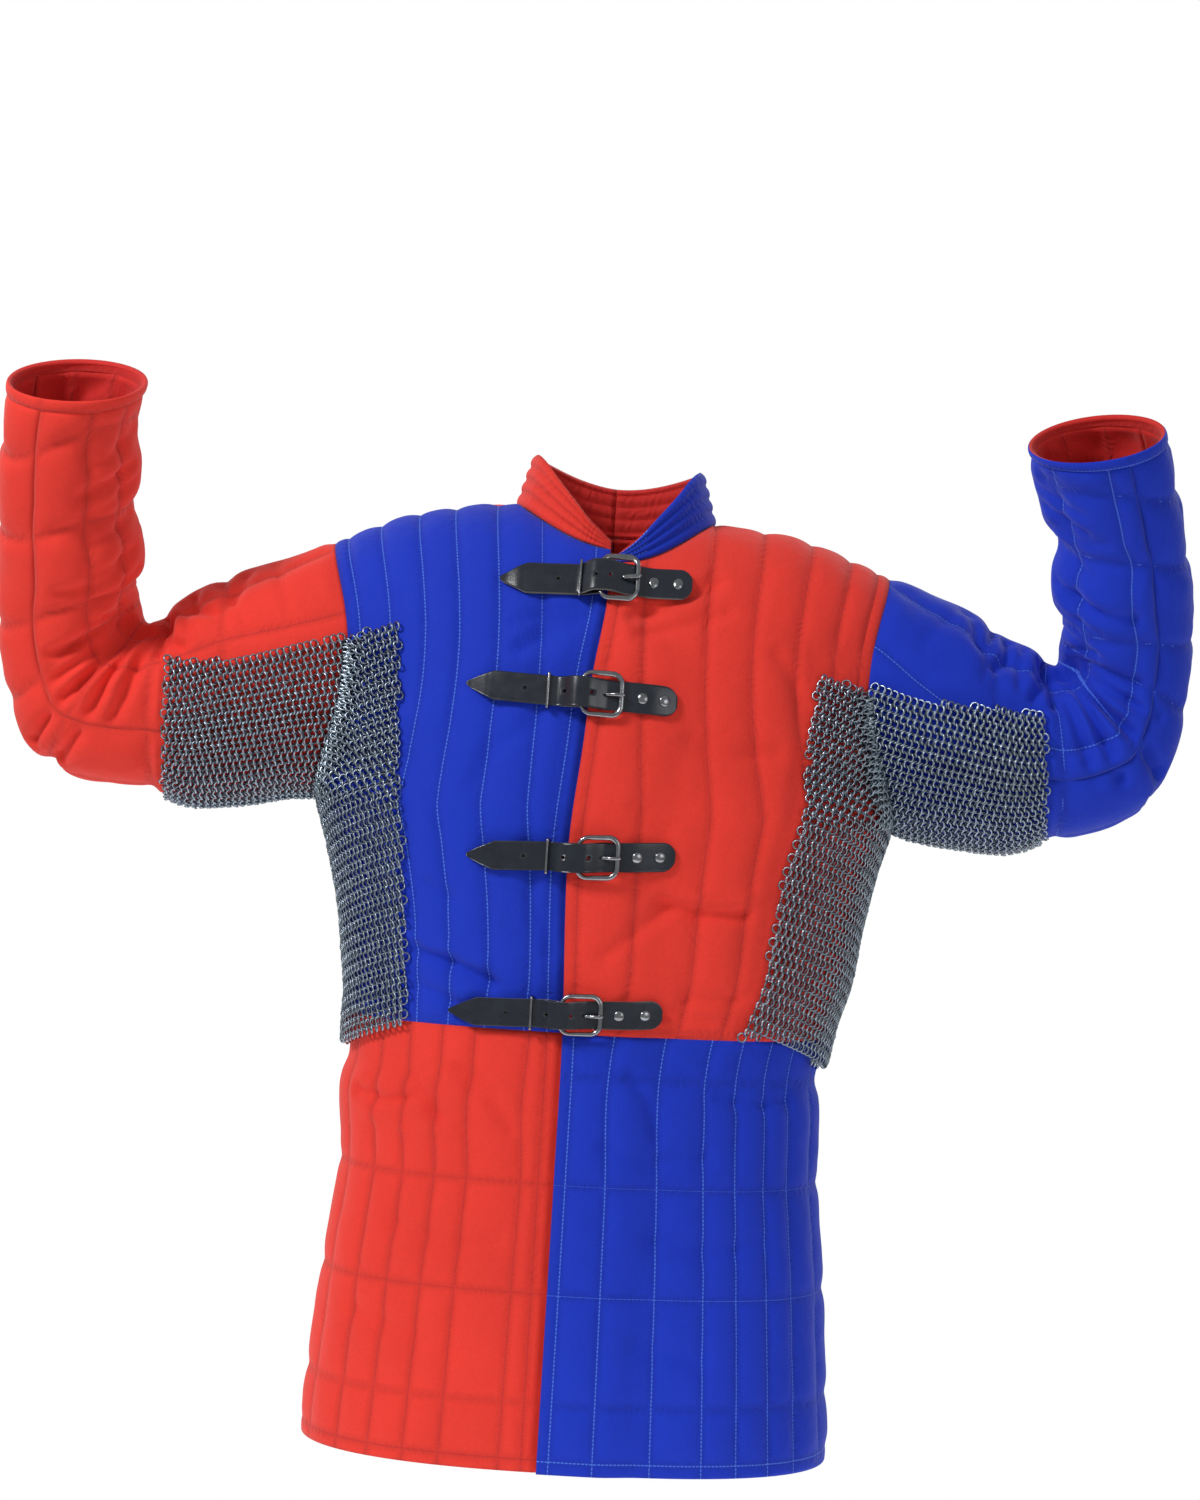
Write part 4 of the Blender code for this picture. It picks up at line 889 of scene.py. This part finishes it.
ELBOW_FOLDS = {
    RIGHT: (
        ([(-28, 7.0), (-70, 7.2), (-110, 7.6)], 7, 5.0),
        ([(-22, 8.1), (-60, 8.5), (-115, 8.6), (-150, 8.9)], 7, 5.6),
        ([(-20, 9.2), (-60, 9.9), (-100, 10.2), (-150, 10.0)], 7, 6.0),
        ([(-22, 10.3), (-62, 11.0), (-112, 11.3)], 7, 5.0),
        ([(-24, 11.4), (-58, 12.2), (-100, 12.4)], 7, 4.4), ([(-20, 12.6), (-50, 13.0)], 6, 3.6),
        ([(-30, 7.6), (-80, 8.0)], 6, -2.6), ([(-30, 8.8), (-90, 9.3)], 6, -2.8),
        ([(-30, 9.8), (-90, 10.7)], 6, -2.6),
        ([(-28, 5.4), (-52, 5.0), (-60, 4.4)], 7, 5.0), ([(-10, 5.9), (-42, 6.0), (-58, 5.6)], 7, 5.2),
        ([(-14, 4.1), (-34, 4.0), (-44, 3.4)], 7, 4.0), ([(-16, 2.6), (-40, 2.9)], 8, 3.0),
        ([(10, 4.6), (40, 4.6)], 8, 3.6), ([(10, 6.2), (50, 6.4), (90, 6.6)], 8, 4.0),
        ([(20, 7.6), (80, 8.0), (140, 8.2)], 8, 4.6), ([(22, 9.0), (80, 9.8), (140, 10.0)], 8, 5.0),
        ([(24, 10.6), (80, 11.4), (130, 11.4)], 8, 4.2), ([(160, 9.0), (200, 9.2)], 8, 3.0),
        ([(-35, 15.4), (-60, 15.0), (-90, 14.9)], 8, 3.0), ([(-30, 18.6), (-70, 18.2)], 8, 2.6),
    ),
    LEFT: (
        ([(-26, 6.8), (-66, 7.1), (-112, 7.2)], 7, 4.6), ([(-22, 7.9), (-64, 8.3), (-120, 8.2)], 7, 5.6),
        ([(-20, 9.0), (-60, 9.5), (-104, 9.8), (-146, 9.6)], 7, 5.8),
        ([(-22, 10.1), (-66, 10.8), (-116, 11.0)], 7, 5.0),
        ([(-24, 11.3), (-60, 11.9), (-96, 12.1)], 7, 4.2), ([(-22, 12.5), (-52, 12.9)], 6, 3.4),
        ([(-30, 7.4), (-80, 7.7)], 6, -2.4), ([(-30, 8.5), (-90, 9.0)], 6, -2.6),
        ([(-30, 9.6), (-90, 10.3)], 6, -2.6),
        ([(-24, 5.3), (-50, 5.1), (-62, 4.6)], 7, 4.6), ([(-12, 6.0), (-44, 6.1), (-60, 5.8)], 7, 5.0),
        ([(-14, 3.9), (-38, 3.8), (-50, 3.2)], 7, 3.8), ([(-12, 2.2), (-40, 2.6)], 8, 2.8),
        ([(12, 4.4), (44, 4.5)], 8, 3.4), ([(12, 6.3), (56, 6.4), (96, 6.5)], 8, 4.0),
        ([(20, 7.5), (80, 7.9), (138, 8.0)], 8, 4.6), ([(22, 9.1), (84, 9.7), (142, 9.9)], 8, 4.8),
        ([(24, 10.7), (84, 11.3), (128, 11.3)], 8, 4.2), ([(162, 8.8), (204, 9.0)], 8, 3.0),
        ([(-35, 15.6), (-64, 15.2), (-92, 15.0)], 8, 2.8), ([(-30, 18.4), (-72, 18.0)], 8, 2.6),
    ),
}


def sleeve_piece(name, nodes, side, first, last, sewn, colour):
    pairs = sleeve_columns(side)[first : last + 1]
    steps = 7
    fine = []
    for (a, b), (c, d) in zip(pairs, pairs[1:]):
        fine += [(a + (c - a) * k / steps, b + (d - b) * k / steps) for k in range(steps)]
    fine.append(pairs[-1])
    rows = 158

    def spot(i, j):
        row = CUFF_ROW * j / rows
        return fine[i][0] + (fine[i][1] - fine[i][0]) * ease(row / 3), row

    def place(i, j):
        angle, row = spot(i, j)
        return arm(side, angle, row), arm_normal(side, angle, row)

    def calm(i, j):
        angle, row = spot(i, j)
        turned = abs((angle + 180) % 360 - 180)
        covered = ease((turned - track(MAIL_ARM[side], "angle", row) + 10) / 8)
        quiet = 1 - 0.75 * (covered * (1 - ease((row - MAIL_ROWS) / 0.4)))
        if 6 < row < 14:
            quiet *= 0.35 + 0.65 * ease((turned - 12) / 30)
        return quiet

    def cross(i):
        angle = fine[i][1]
        swing = 0.45 * math.cos(math.radians(angle)) + 0.12 * math.sin(math.radians(3 * angle + 40 * side))
        return [
            (r + (swing if r > 11 else 0.4 * swing)) / CUFF_ROW * rows
            for r in SLEEVE_CROSS if r < 20 or swing < 0.4
        ]

    small = []
    for k, row in enumerate((1.6, 2.9, 4.3, 13.4, 14.7, 15.6, 16.8, 17.9, 18.8, 19.7)):
        slant = 0.3 + 0.12 * math.sin(2.3 * k + side)
        crook = [(-12 - 3 * (k % 3), row + slant), (-36, row), (-58 - 4 * (k % 2), row - slant)]
        small.append((crook, 5.5, 1.5 + 0.3 * (k % 3)))
        small.append(([(22 + 5 * (k % 3), row + 0.2), (62, row - 0.1 * (k % 2))], 6, 1.3))
    folds = []
    for run, width, depth in ELBOW_FOLDS[side] + tuple(small):
        line = []
        for (a0, r0), (a1, r1) in zip(run, run[1:]):
            line += [arm(side, a0 + (a1 - a0) * k / 6, r0 + (r1 - r0) * k / 6) for k in range(6)]
        folds.append((line + [arm(side, *run[-1])], width * 0.9, depth * FOLD_DEPTH))
    return quilted(
        name, nodes, len(fine) - 1, rows, place, colour, [steps * k for k in sewn],
        [steps * k for k in sewn[1:-1]], cross=cross, cross_depth=1.05, puff=PUFF * 1.45, calm=calm,
        folds=folds, rumple=1.2,
    )


def cuff_band(name, node, side, colour):
    angles = [b for a, b in sleeve_columns(side)]
    fine = []
    for a, b in zip(angles, angles[1:]):
        fine += [a + (b - a) * k / 5 for k in range(5)]
    fine.append(angles[-1])
    rows = 6

    def place(i, j):
        row = CUFF_ROW - 0.07 + (21.07 - CUFF_ROW) * j / rows
        return arm(side, fine[i], row), arm_normal(side, fine[i], row)

    def shape(across, along):
        return np.tile([-0.6, 1.5, 2.2, 2.3, 2.2, 1.8, 0.7], (across.shape[0], 1))

    return quilted(
        name, [node], len(fine) - 1, rows, place, colour, [0, len(fine) - 1], puff=0.0, shape=shape,
        rumple=0.0, cross=lambda i: (1.0,), ends=(False, False), closed=True, wall=5.2,
    )


for word, side, colour, main_cut, under_cut, cuff_cut in (
    ("right", RIGHT, "red", (0.452, 0.619, 0.1581), (0.192, 0.629, 0.0806), (0.377, 0.013, 0.0048)),
    ("left", LEFT, "blue", (0.447, 0.609, 0.1496), (0.191, 0.618, 0.0790), (0.376, 0.013, 0.0043)),
):
    main, under = [f"sleeve_{word}_main"], [f"sleeve_{word}_under"]
    sleeve_piece(f"coat_sleeve_{word}_main", main, side, 0, 11, (0, 2, 4, 6, 8, 10, 11), colour)
    sleeve_piece(f"coat_sleeve_{word}_under", under, side, 11, 16, (0, 2, 5), colour)
    cuff_band(f"coat_cuff_{word}", f"cuff_{word}", side, colour)

# Mail of zinc-coated steel rings covers the armpits. Each ring passes through two in the row above and two
# in the row below, so the rows lean to and fro. It hangs from a lacing along its edges.
RING_RADIUS, RING_WIRE = 3.95, 1.12
RING_PITCH, ROW_PITCH, RING_LEAN = 6.2, 5.8, 38.0
MAIL_OFF = 4.1
ring_shape = bmesh.new()
bmesh.ops.create_circle(ring_shape, segments=3, radius=RING_WIRE * MM)
bmesh.ops.transform(
    ring_shape, verts=ring_shape.verts,
    matrix=Matrix.Translation((RING_RADIUS * MM, 0, 0)) @ Matrix.Rotation(math.pi / 2, 4, "X"),
)
bmesh.ops.spin(
    ring_shape, geom=[*ring_shape.verts, *ring_shape.edges], cent=(0, 0, 0), axis=(0, 0, 1),
    angle=2 * math.pi, steps=9, use_merge=True, use_duplicate=False,
)
bmesh.ops.remove_doubles(ring_shape, verts=ring_shape.verts, dist=1e-6)
bmesh.ops.recalc_face_normals(ring_shape, faces=ring_shape.faces)
for ring_face in ring_shape.faces:
    ring_face.smooth = True
ring_mesh = bpy.data.meshes.new("ring")
ring_shape.to_mesh(ring_mesh)
ring_shape.free()
ring_points = np.array([v.co for v in ring_mesh.vertices])


def worn_metal(name, colour, roughness, spots):
    """Bare metal with a broken, slightly brushed surface."""
    made, tree, shader, place = new_material(name)
    patches, grain = spots_of(tree, place, spots, 4.0), spots_of(tree, place, spots * 6, 2.0)
    dark, light = [c * 0.62 for c in colour], [min(c * 1.4, 1) for c in colour]
    mixed = {"Factor": patches, 6: (*dark, 1), 7: (*light, 1)}
    dull = add_node(tree, "ShaderNodeMix", mixed, data_type="RGBA")
    tree.links.new(dull.outputs[2], shader.inputs["Base Color"])
    rough = ramp(tree, grain, 0.3, 0.7, roughness * 0.75, roughness * 1.35)
    tree.links.new(rough, shader.inputs["Roughness"])
    raise_surface(tree, shader, 0.35, 0.0003, grain)
    shader.inputs["Metallic"].default_value = 1.0
    return made


mail_steel = worn_metal("zinc_coated_rings", (0.36, 0.43, 0.50), 0.34, 90.0)
chance = np.random.default_rng(11)


def lay_rings(name, nodes, spots):
    """Join rings into one piece; a spot is a place, the way out, the way along the row and the lean."""
    bm = bmesh.new()
    for p, n, e, lean in spots:
        n = n.normalized()
        e = (e - n * e.dot(n)).normalized()
        side_way = n.cross(e)
        a = math.radians(lean * RING_LEAN + chance.normal(0, 4))
        x = e * math.cos(a) + n * math.sin(a)
        z = n * math.cos(a) - e * math.sin(a)
        shake = chance.normal(0, 0.07, 3)
        x = (x + side_way * shake[0]).normalized()
        y = z.cross(x).normalized()
        turn = np.array([x, y, z])
        middle = np.array(p + n * (MAIL_OFF + shake[1] * 3)) * MM
        ring_mesh.vertices.foreach_set("co", (ring_points @ turn + middle).ravel())
        bm.from_mesh(ring_mesh)
    return put_on(bm, name, nodes, "mail", mail_steel)


def mail_bottom(side, t):
    return (-465 if side == RIGHT else -461) - 26 * ease((t - 40) / 34)


def body_mail(side):
    """Rings round the side of the body, in rows that rise towards the front."""
    slant, step = math.radians(18), 8.0
    rise = math.tan(slant)
    climbs = {}

    def on_cloth(side, face, t, z):
        """A place by the length of cloth up its column, counted on from the armpit's height."""
        if z <= ARMPIT_Z:
            return at_height(side, face, t, z)
        k = round(t * 2) / 2
        if (face, k) not in climbs:
            run = [body(side, face, k, 90 * (m / 60) ** 2.4) for m in range(61)]
            climbs[face, k] = run_lengths(run)
        g = float(np.interp(z - ARMPIT_Z, climbs[face, k], 90 * np.linspace(0, 1, 61) ** 2.4))
        return body(side, face, t, g), body_normal(side, face, t, g)

    heights = np.arange(-500, -20, step)
    angles = np.linspace(90, 20, 71)
    rounds = {}
    for face in (FRONT, BACK):
        for z in heights:
            rounds[face, z] = run_lengths([on_cloth(side, face, t, z)[0] for t in angles])

    def angle_from_side(face, z, away):
        k = min(max((z - heights[0]) / step, 0), len(heights) - 1.001)
        low = int(k)
        lengths = rounds[face, heights[low]] * (1 - k + low) + rounds[face, heights[low + 1]] * (k - low)
        return float(np.interp(away, lengths, angles)), lengths[-1]

    found = {FRONT: [], BACK: []}
    for j in range(-22, 132):
        for k in range(-50, 51):
            a = (k + 0.5 * (j % 2)) * RING_PITCH
            z = -520 + j * ROW_PITCH / math.cos(slant) + a * rise
            if not -497 < z < -30:
                continue
            face, way_round = (FRONT, 1) if a >= 0 else (BACK, -1)
            t, reach = angle_from_side(face, z, abs(a))
            p, n = on_cloth(side, face, t, z)
            edge = track(MAIL_EDGE[side], "angle", p.z)
            if abs(a) > reach or t < edge + 0.8 or p.z < mail_bottom(side, t) + 3:
                continue
            f = (t - edge) / (90 - edge)
            top = MAIL_TOP[side][0] * (1 - f) + MAIL_TOP[side][1] * f
            if p.z > top - 3 or (p.z > ARMPIT_Z and abs(a) < 2.5):
                continue
            z2 = z + 2 * rise * way_round
            t2, _ = angle_from_side(face, z2, abs(a) + 2)
            way = (on_cloth(side, face, t2, z2)[0] - p) * way_round
            flare = 3.5 * ease((WAIST_Z + 30 - p.z) / 50)
            found[face].append((p + n * flare, n, way, 1 if j % 2 else -1))
    return found


def sleeve_mail(side):
    """Rings round the under side of the upper arm, in rows along it."""
    angles = np.linspace(60, 300, 241)
    lengths = run_lengths([arm(side, a, 2.5) for a in angles])
    middle = float(np.interp(180, angles, lengths))
    found = []
    for j in range(-60, 61):
        c = middle + j * ROW_PITCH
        if not 0 < c < lengths[-1]:
            continue
        angle = float(np.interp(c, lengths, angles))
        rows = np.linspace(0, MAIL_ROWS, 61)
        along = run_lengths([arm(side, angle, r) for r in rows])
        k = 0
        while True:
            s = (k + 0.35 + 0.5 * (j % 2)) * RING_PITCH
            k += 1
            if s > along[-1] - 2:
                break
            row = float(np.interp(s, along, rows))
            top = track(MAIL_ARM[side], "angle", row)
            if not top + 1 < angle < 359 - top:
                continue
            p, n = arm(side, angle, row), arm_normal(side, angle, max(row, 0.15))
            way = arm(side, angle, row + 0.08) - arm(side, angle, max(row - 0.08, 0))
            found.append((p, n, way, 1 if j % 2 else -1))
    return found


for word, side in (("right", RIGHT), ("left", LEFT)):
    rings = body_mail(side)
    lay_rings(f"rings_{word}_front", [f"mail_{word}_front"], rings[FRONT])
    lay_rings(f"rings_{word}_back", [f"mail_{word}_back"], rings[BACK])
    lay_rings(f"rings_{word}_sleeve", [f"mail_{word}_sleeve"], sleeve_mail(side))

# Four closures of black bridle leather hold the fronts. On each a pointed strap is riveted to the left
# front, and a tab on the right front carries the nickel buckle, its prong and the strap's wire keeper.
CLOSURES = table(
    "number z slope tip keeper bar rivet_a rivet_b end",
    (1, -66, 0.018, -103, -30, -12, 37, 59, 72),
    (2, -165, -0.043, -121, -50, -21, 31, 50, 61),
    (3, -305, 0.043, -113, -43, -16, 35, 55, 68),
    (4, -444, 0.039, -121, -49, -23, 27, 50, 65),
)
STRAP_HALF, STRAP_THICK, TAB_THICK, WIRE = 12.7, 2.6, 2.4, 2.4
BUCKLE_HALF, BUCKLE_CORNER = 17.5, 8.5
RIVET_RADIUS, RIVET_CUT = 4.9, 0.4  # a dome cut from a ball just above its middle
HOLE_RADIUS = 1.7


def leather(name, colour, roughness):
    made, tree, shader, place = new_material(name)
    pores = add_node(
        tree, "ShaderNodeTexVoronoi", {"Vector": place, "Scale": 900.0}, feature="DISTANCE_TO_EDGE"
    ).outputs["Distance"]
    scuff = spots_of(tree, place, 70.0, 5.0)
    dark, light = [c * 0.6 for c in colour], [c * 1.7 for c in colour]
    worn = add_node(tree, "ShaderNodeMix", {"Factor": scuff, 6: (*dark, 1), 7: (*light, 1)}, data_type="RGBA")
    tree.links.new(worn.outputs[2], shader.inputs["Base Color"])
    rough = ramp(tree, scuff, 0.35, 0.65, roughness * 0.8, roughness * 1.3)
    tree.links.new(rough, shader.inputs["Roughness"])
    raise_surface(tree, shader, 0.5, 0.0002, pores)
    shader.inputs["Coat Weight"].default_value = 0.5
    shader.inputs["Coat Roughness"].default_value = 0.28
    return made


LEATHER = {
    "face": leather("black_leather", (0.006, 0.010, 0.018), 0.26),
    "edge": leather("cut_leather", (0.10, 0.095, 0.09), 0.6),
}
nickel = worn_metal("nickel_steel", (0.31, 0.32, 0.34), 0.2, 160.0)


def front_at(x, z):
    side = LEFT if x >= track(BODY, "shift", z) else RIGHT
    return at_height(side, FRONT, angle_at(side, FRONT, z, x), z)


class Closure:
    """Places given along, across and off the front at one of the straps."""

    def __init__(self, i):
        self.row = {name: values[i] for name, values in CLOSURES.items()}

    def height(self, along):
        return self.row["z"] + self.row["slope"] * (along - self.row["bar"])

    def at(self, along, across, off):
        p, n = front_at(along, self.height(along) + across)
        return p + n * off

    def lapped(self, along):
        return max(lap_rise(along, self.height(along) + b) for b in (-14, 0, 14)) + PUFF + 0.7

    def tab(self, along):
        bar, edge = self.row["bar"], track(EDGE, "x", self.row["z"])
        flat = PUFF + (0.4 if self.row["number"] == 1 else 0.7)
        over = flat + 3.6 * ease((along - bar + 16) / 14)
        return max(over, flat + (self.lapped(along) + 0.3 - flat) * ease((along - edge + 17) / 14))

    def strap(self, along):
        bar, tip = self.row["bar"], self.row["tip"]
        over_bar = self.tab(bar) + TAB_THICK + 2 * WIRE + 0.9
        if along <= bar:
            lying = self.tab(along) + TAB_THICK + 0.4
            low = PUFF + 0.9 + TAB_THICK * ease((along - tip - 4) / 14)
            lying = min(lying, low + 10) if along > tip + 20 else low
            return lying + (over_bar - lying) * ease((along - bar + 22) / 19)
        lap = self.lapped(along)
        return lap + max(over_bar - lap, 0) * (1 - ease((along - bar - 4) / 20))


def finish_piece(bm, name, node, *materials):
    for face in bm.faces:
        face.smooth = True
    return put_on(bm, name, [node], "nickel" if materials[0] == nickel else "leather", *materials)


def belt(name, node, start, end, half, inner, thick, closure, holes=()):
    """A flat strip of leather along a closure, with punched holes."""
    columns, rows = round((end - start) / 1.5), 16
    bm = bmesh.new()
    bmesh.ops.create_grid(bm, x_segments=columns, y_segments=rows, size=0.5)
    for v in bm.verts:
        along = start + (end - start) * (v.co.x + 0.5)
        v.co = (along, half(along) * 2 * v.co.y, 0)
    for hole in holes:
        middle, radius = Vector((hole, 0, 0)), HOLE_RADIUS
        for v in bm.verts:
            away = v.co - middle
            if 0.6 * radius < away.length < 1.75 * radius:
                v.co = middle + away.normalized() * radius
        gone = [f for f in bm.faces if all((v.co - middle).length < radius + 0.02 for v in f.verts)]
        bmesh.ops.delete(bm, geom=gone, context="FACES")
    for v in bm.verts:
        along, across = v.co.x, v.co.y
        dome = 0.25 * (1 - min(abs(across) / STRAP_HALF, 1) ** 4)
        v.co = closure.at(along, across, inner(along) + thick - 0.25 + dome) * MM
    bmesh.ops.recalc_face_normals(bm, faces=bm.faces)
    bm.faces.ensure_lookup_table()
    if bm.faces[0].normal.y > 0:
        bmesh.ops.reverse_faces(bm, faces=bm.faces)
    piece = finish_piece(bm, name, node, LEATHER["face"], LEATHER["edge"])
    wall = piece.modifiers.new("hide", "SOLIDIFY")
    wall.thickness, wall.offset = thick * MM, -1.0
    wall.material_offset_rim = 1
    soften = piece.modifiers.new("edges", "BEVEL")
    soften.width, soften.segments = 0.0005, 2
    soften.limit_method, soften.angle_limit = "ANGLE", math.radians(50)
    return piece


def bent_wire(name, node, path, radius, closure, cyclic, sides=12):
    """A bent wire along places on a closure."""
    curve = bpy.data.curves.new(name, "CURVE")
    curve.dimensions = "3D"
    spline = curve.splines.new("POLY")
    spline.points.add(len(path) - 1)
    for knot, (along, across, off, size) in zip(spline.points, path):
        knot.co = (along, across, off, 1)
        knot.radius = size
    spline.use_cyclic_u = cyclic
    curve.bevel_depth, curve.bevel_resolution, curve.use_fill_caps = radius, (sides - 4) // 2, not cyclic
    carrier = bpy.data.objects.new(name, curve)
    mesh = bpy.data.meshes.new_from_object(carrier)
    bpy.data.objects.remove(carrier)
    bm = bmesh.new()
    bm.from_mesh(mesh)
    bpy.data.meshes.remove(mesh)
    bmesh.ops.remove_doubles(bm, verts=bm.verts, dist=1e-4)
    for v in bm.verts:
        v.co = closure.at(*v.co) * MM
    bmesh.ops.recalc_face_normals(bm, faces=bm.faces)
    return finish_piece(bm, name, node, nickel)


def fillet(points, cuts=6, reach=0.35):
    """A path with its corners rounded off."""
    path = [points[0]]
    for a, b, c in zip(points, points[1:], points[2:]):
        a, b, c = (np.array(p, float) for p in (a, b, c))
        start, end = b + (a - b) * reach, b + (c - b) * reach
        for k in range(cuts + 1):
            f = k / cuts
            path.append(tuple(start * (1 - f) ** 2 + b * 2 * f * (1 - f) + end * f * f))
    path.append(points[-1])
    return path


for i in range(4):
    c = Closure(i)
    row = c.row
    n, bar, tip, end, keeper = int(row["number"]), row["bar"], row["tip"], row["end"], row["keeper"]
    bow = bar + 34.0

    def half(along):
        return STRAP_HALF * (0.08 + 0.92 * min((along - tip) / 24, 1) ** 0.85) * (
            math.sqrt(max(1 - (max(along - (end - 11), 0) / 11.6) ** 2, 0))
        )

    punched = [keeper - 20, keeper + 14, bar + 9] if n != 4 else [keeper - 22, keeper + 13, bar + 9]
    belt(f"leather_strap_{n}", f"strap_{n}", tip, end, half, c.strap, STRAP_THICK, c, punched)
    belt(f"leather_tab_{n}", f"tab_{n}", tip + 26, bar, lambda along: STRAP_HALF - 0.4, c.tab, TAB_THICK, c)

    bar_off = c.tab(bar) + TAB_THICK + 0.4 + WIRE
    bow_off = c.strap(bow) + STRAP_THICK + 0.5 + WIRE

    def off(x):
        return bar_off + (bow_off - bar_off) * ease((x - bar) / (bow - bar))

    frame_path = []
    near, far, straight = bar + BUCKLE_CORNER, bow - BUCKLE_CORNER, BUCKLE_HALF - BUCKLE_CORNER
    for cx, cy, turn in (
        (far, straight, 0), (near, straight, 90), (near, -straight, 180), (far, -straight, 270),
    ):
        for k in range(9):
            a = math.radians(turn + 90 * k / 8)
            x = cx + BUCKLE_CORNER * math.cos(a)
            frame_path.append((x, cy + BUCKLE_CORNER * math.sin(a), off(x), 1.0 if x > bar + 12 else 0.85))
    bent_wire(f"buckle_frame_{n}", f"buckle_{n}", frame_path, WIRE, c, True, 14)
    top = bow_off + WIRE + 1.5
    bent_wire(
        f"buckle_prong_{n}", f"prong_{n}",
        fillet([(bow - 14, 0, max(c.strap(bow - 14) + STRAP_THICK + 1.5, top - 5.4), 0.7),
                (bow - 12, 0, max(c.strap(bow - 12) + STRAP_THICK + 1.9, top - 4.2), 1),
                (bow - 6, 0, top - 0.5, 1), (bow, 0, top + 0.3, 0.95), (bow + 3, 0, top, 0.6)], 4),
        1.7, c, False,
    )
    k_top, k_low, h = c.strap(keeper) + STRAP_THICK + 1.9, c.tab(keeper) - 1.35, STRAP_HALF + 2.0
    loop = [(keeper, 0, k_top, 1)]
    bend = 1.4
    for x, y, first in ((h, k_top, 90), (h, k_low, 0), (-h, k_low, -90), (-h, k_top, 180)):
        cx, cy = math.copysign(h - bend, x), y - bend if y == k_top else y + bend
        for k in range(7):
            a = math.radians(first - 15 * k)
            loop.append((keeper, cx + bend * math.cos(a), cy + bend * math.sin(a), 1))
    bent_wire(f"strap_keeper_{n}", f"keeper_{n}", loop, 1.3, c, True, 10)
    for m, place in ((1, row["rivet_a"]), (2, row["rivet_b"])):
        bm = bmesh.new()
        bmesh.ops.create_uvsphere(bm, u_segments=24, v_segments=14, radius=RIVET_RADIUS)
        bmesh.ops.bisect_plane(
            bm, geom=[*bm.verts, *bm.edges, *bm.faces], plane_co=(0, 0, RIVET_CUT),
            plane_no=(0, 0, 1), clear_inner=True,
        )
        bmesh.ops.holes_fill(bm, edges=bm.edges)
        for v in bm.verts:
            seat = c.strap(place + v.co.x) + STRAP_THICK
            v.co = c.at(place + v.co.x, v.co.y, seat + (v.co.z - RIVET_CUT) * 0.5) * MM
        bmesh.ops.recalc_face_normals(bm, faces=bm.faces)
        finish_piece(bm, f"rivet_head_{n}_{m}", f"rivet_{n}_{m}", nickel)
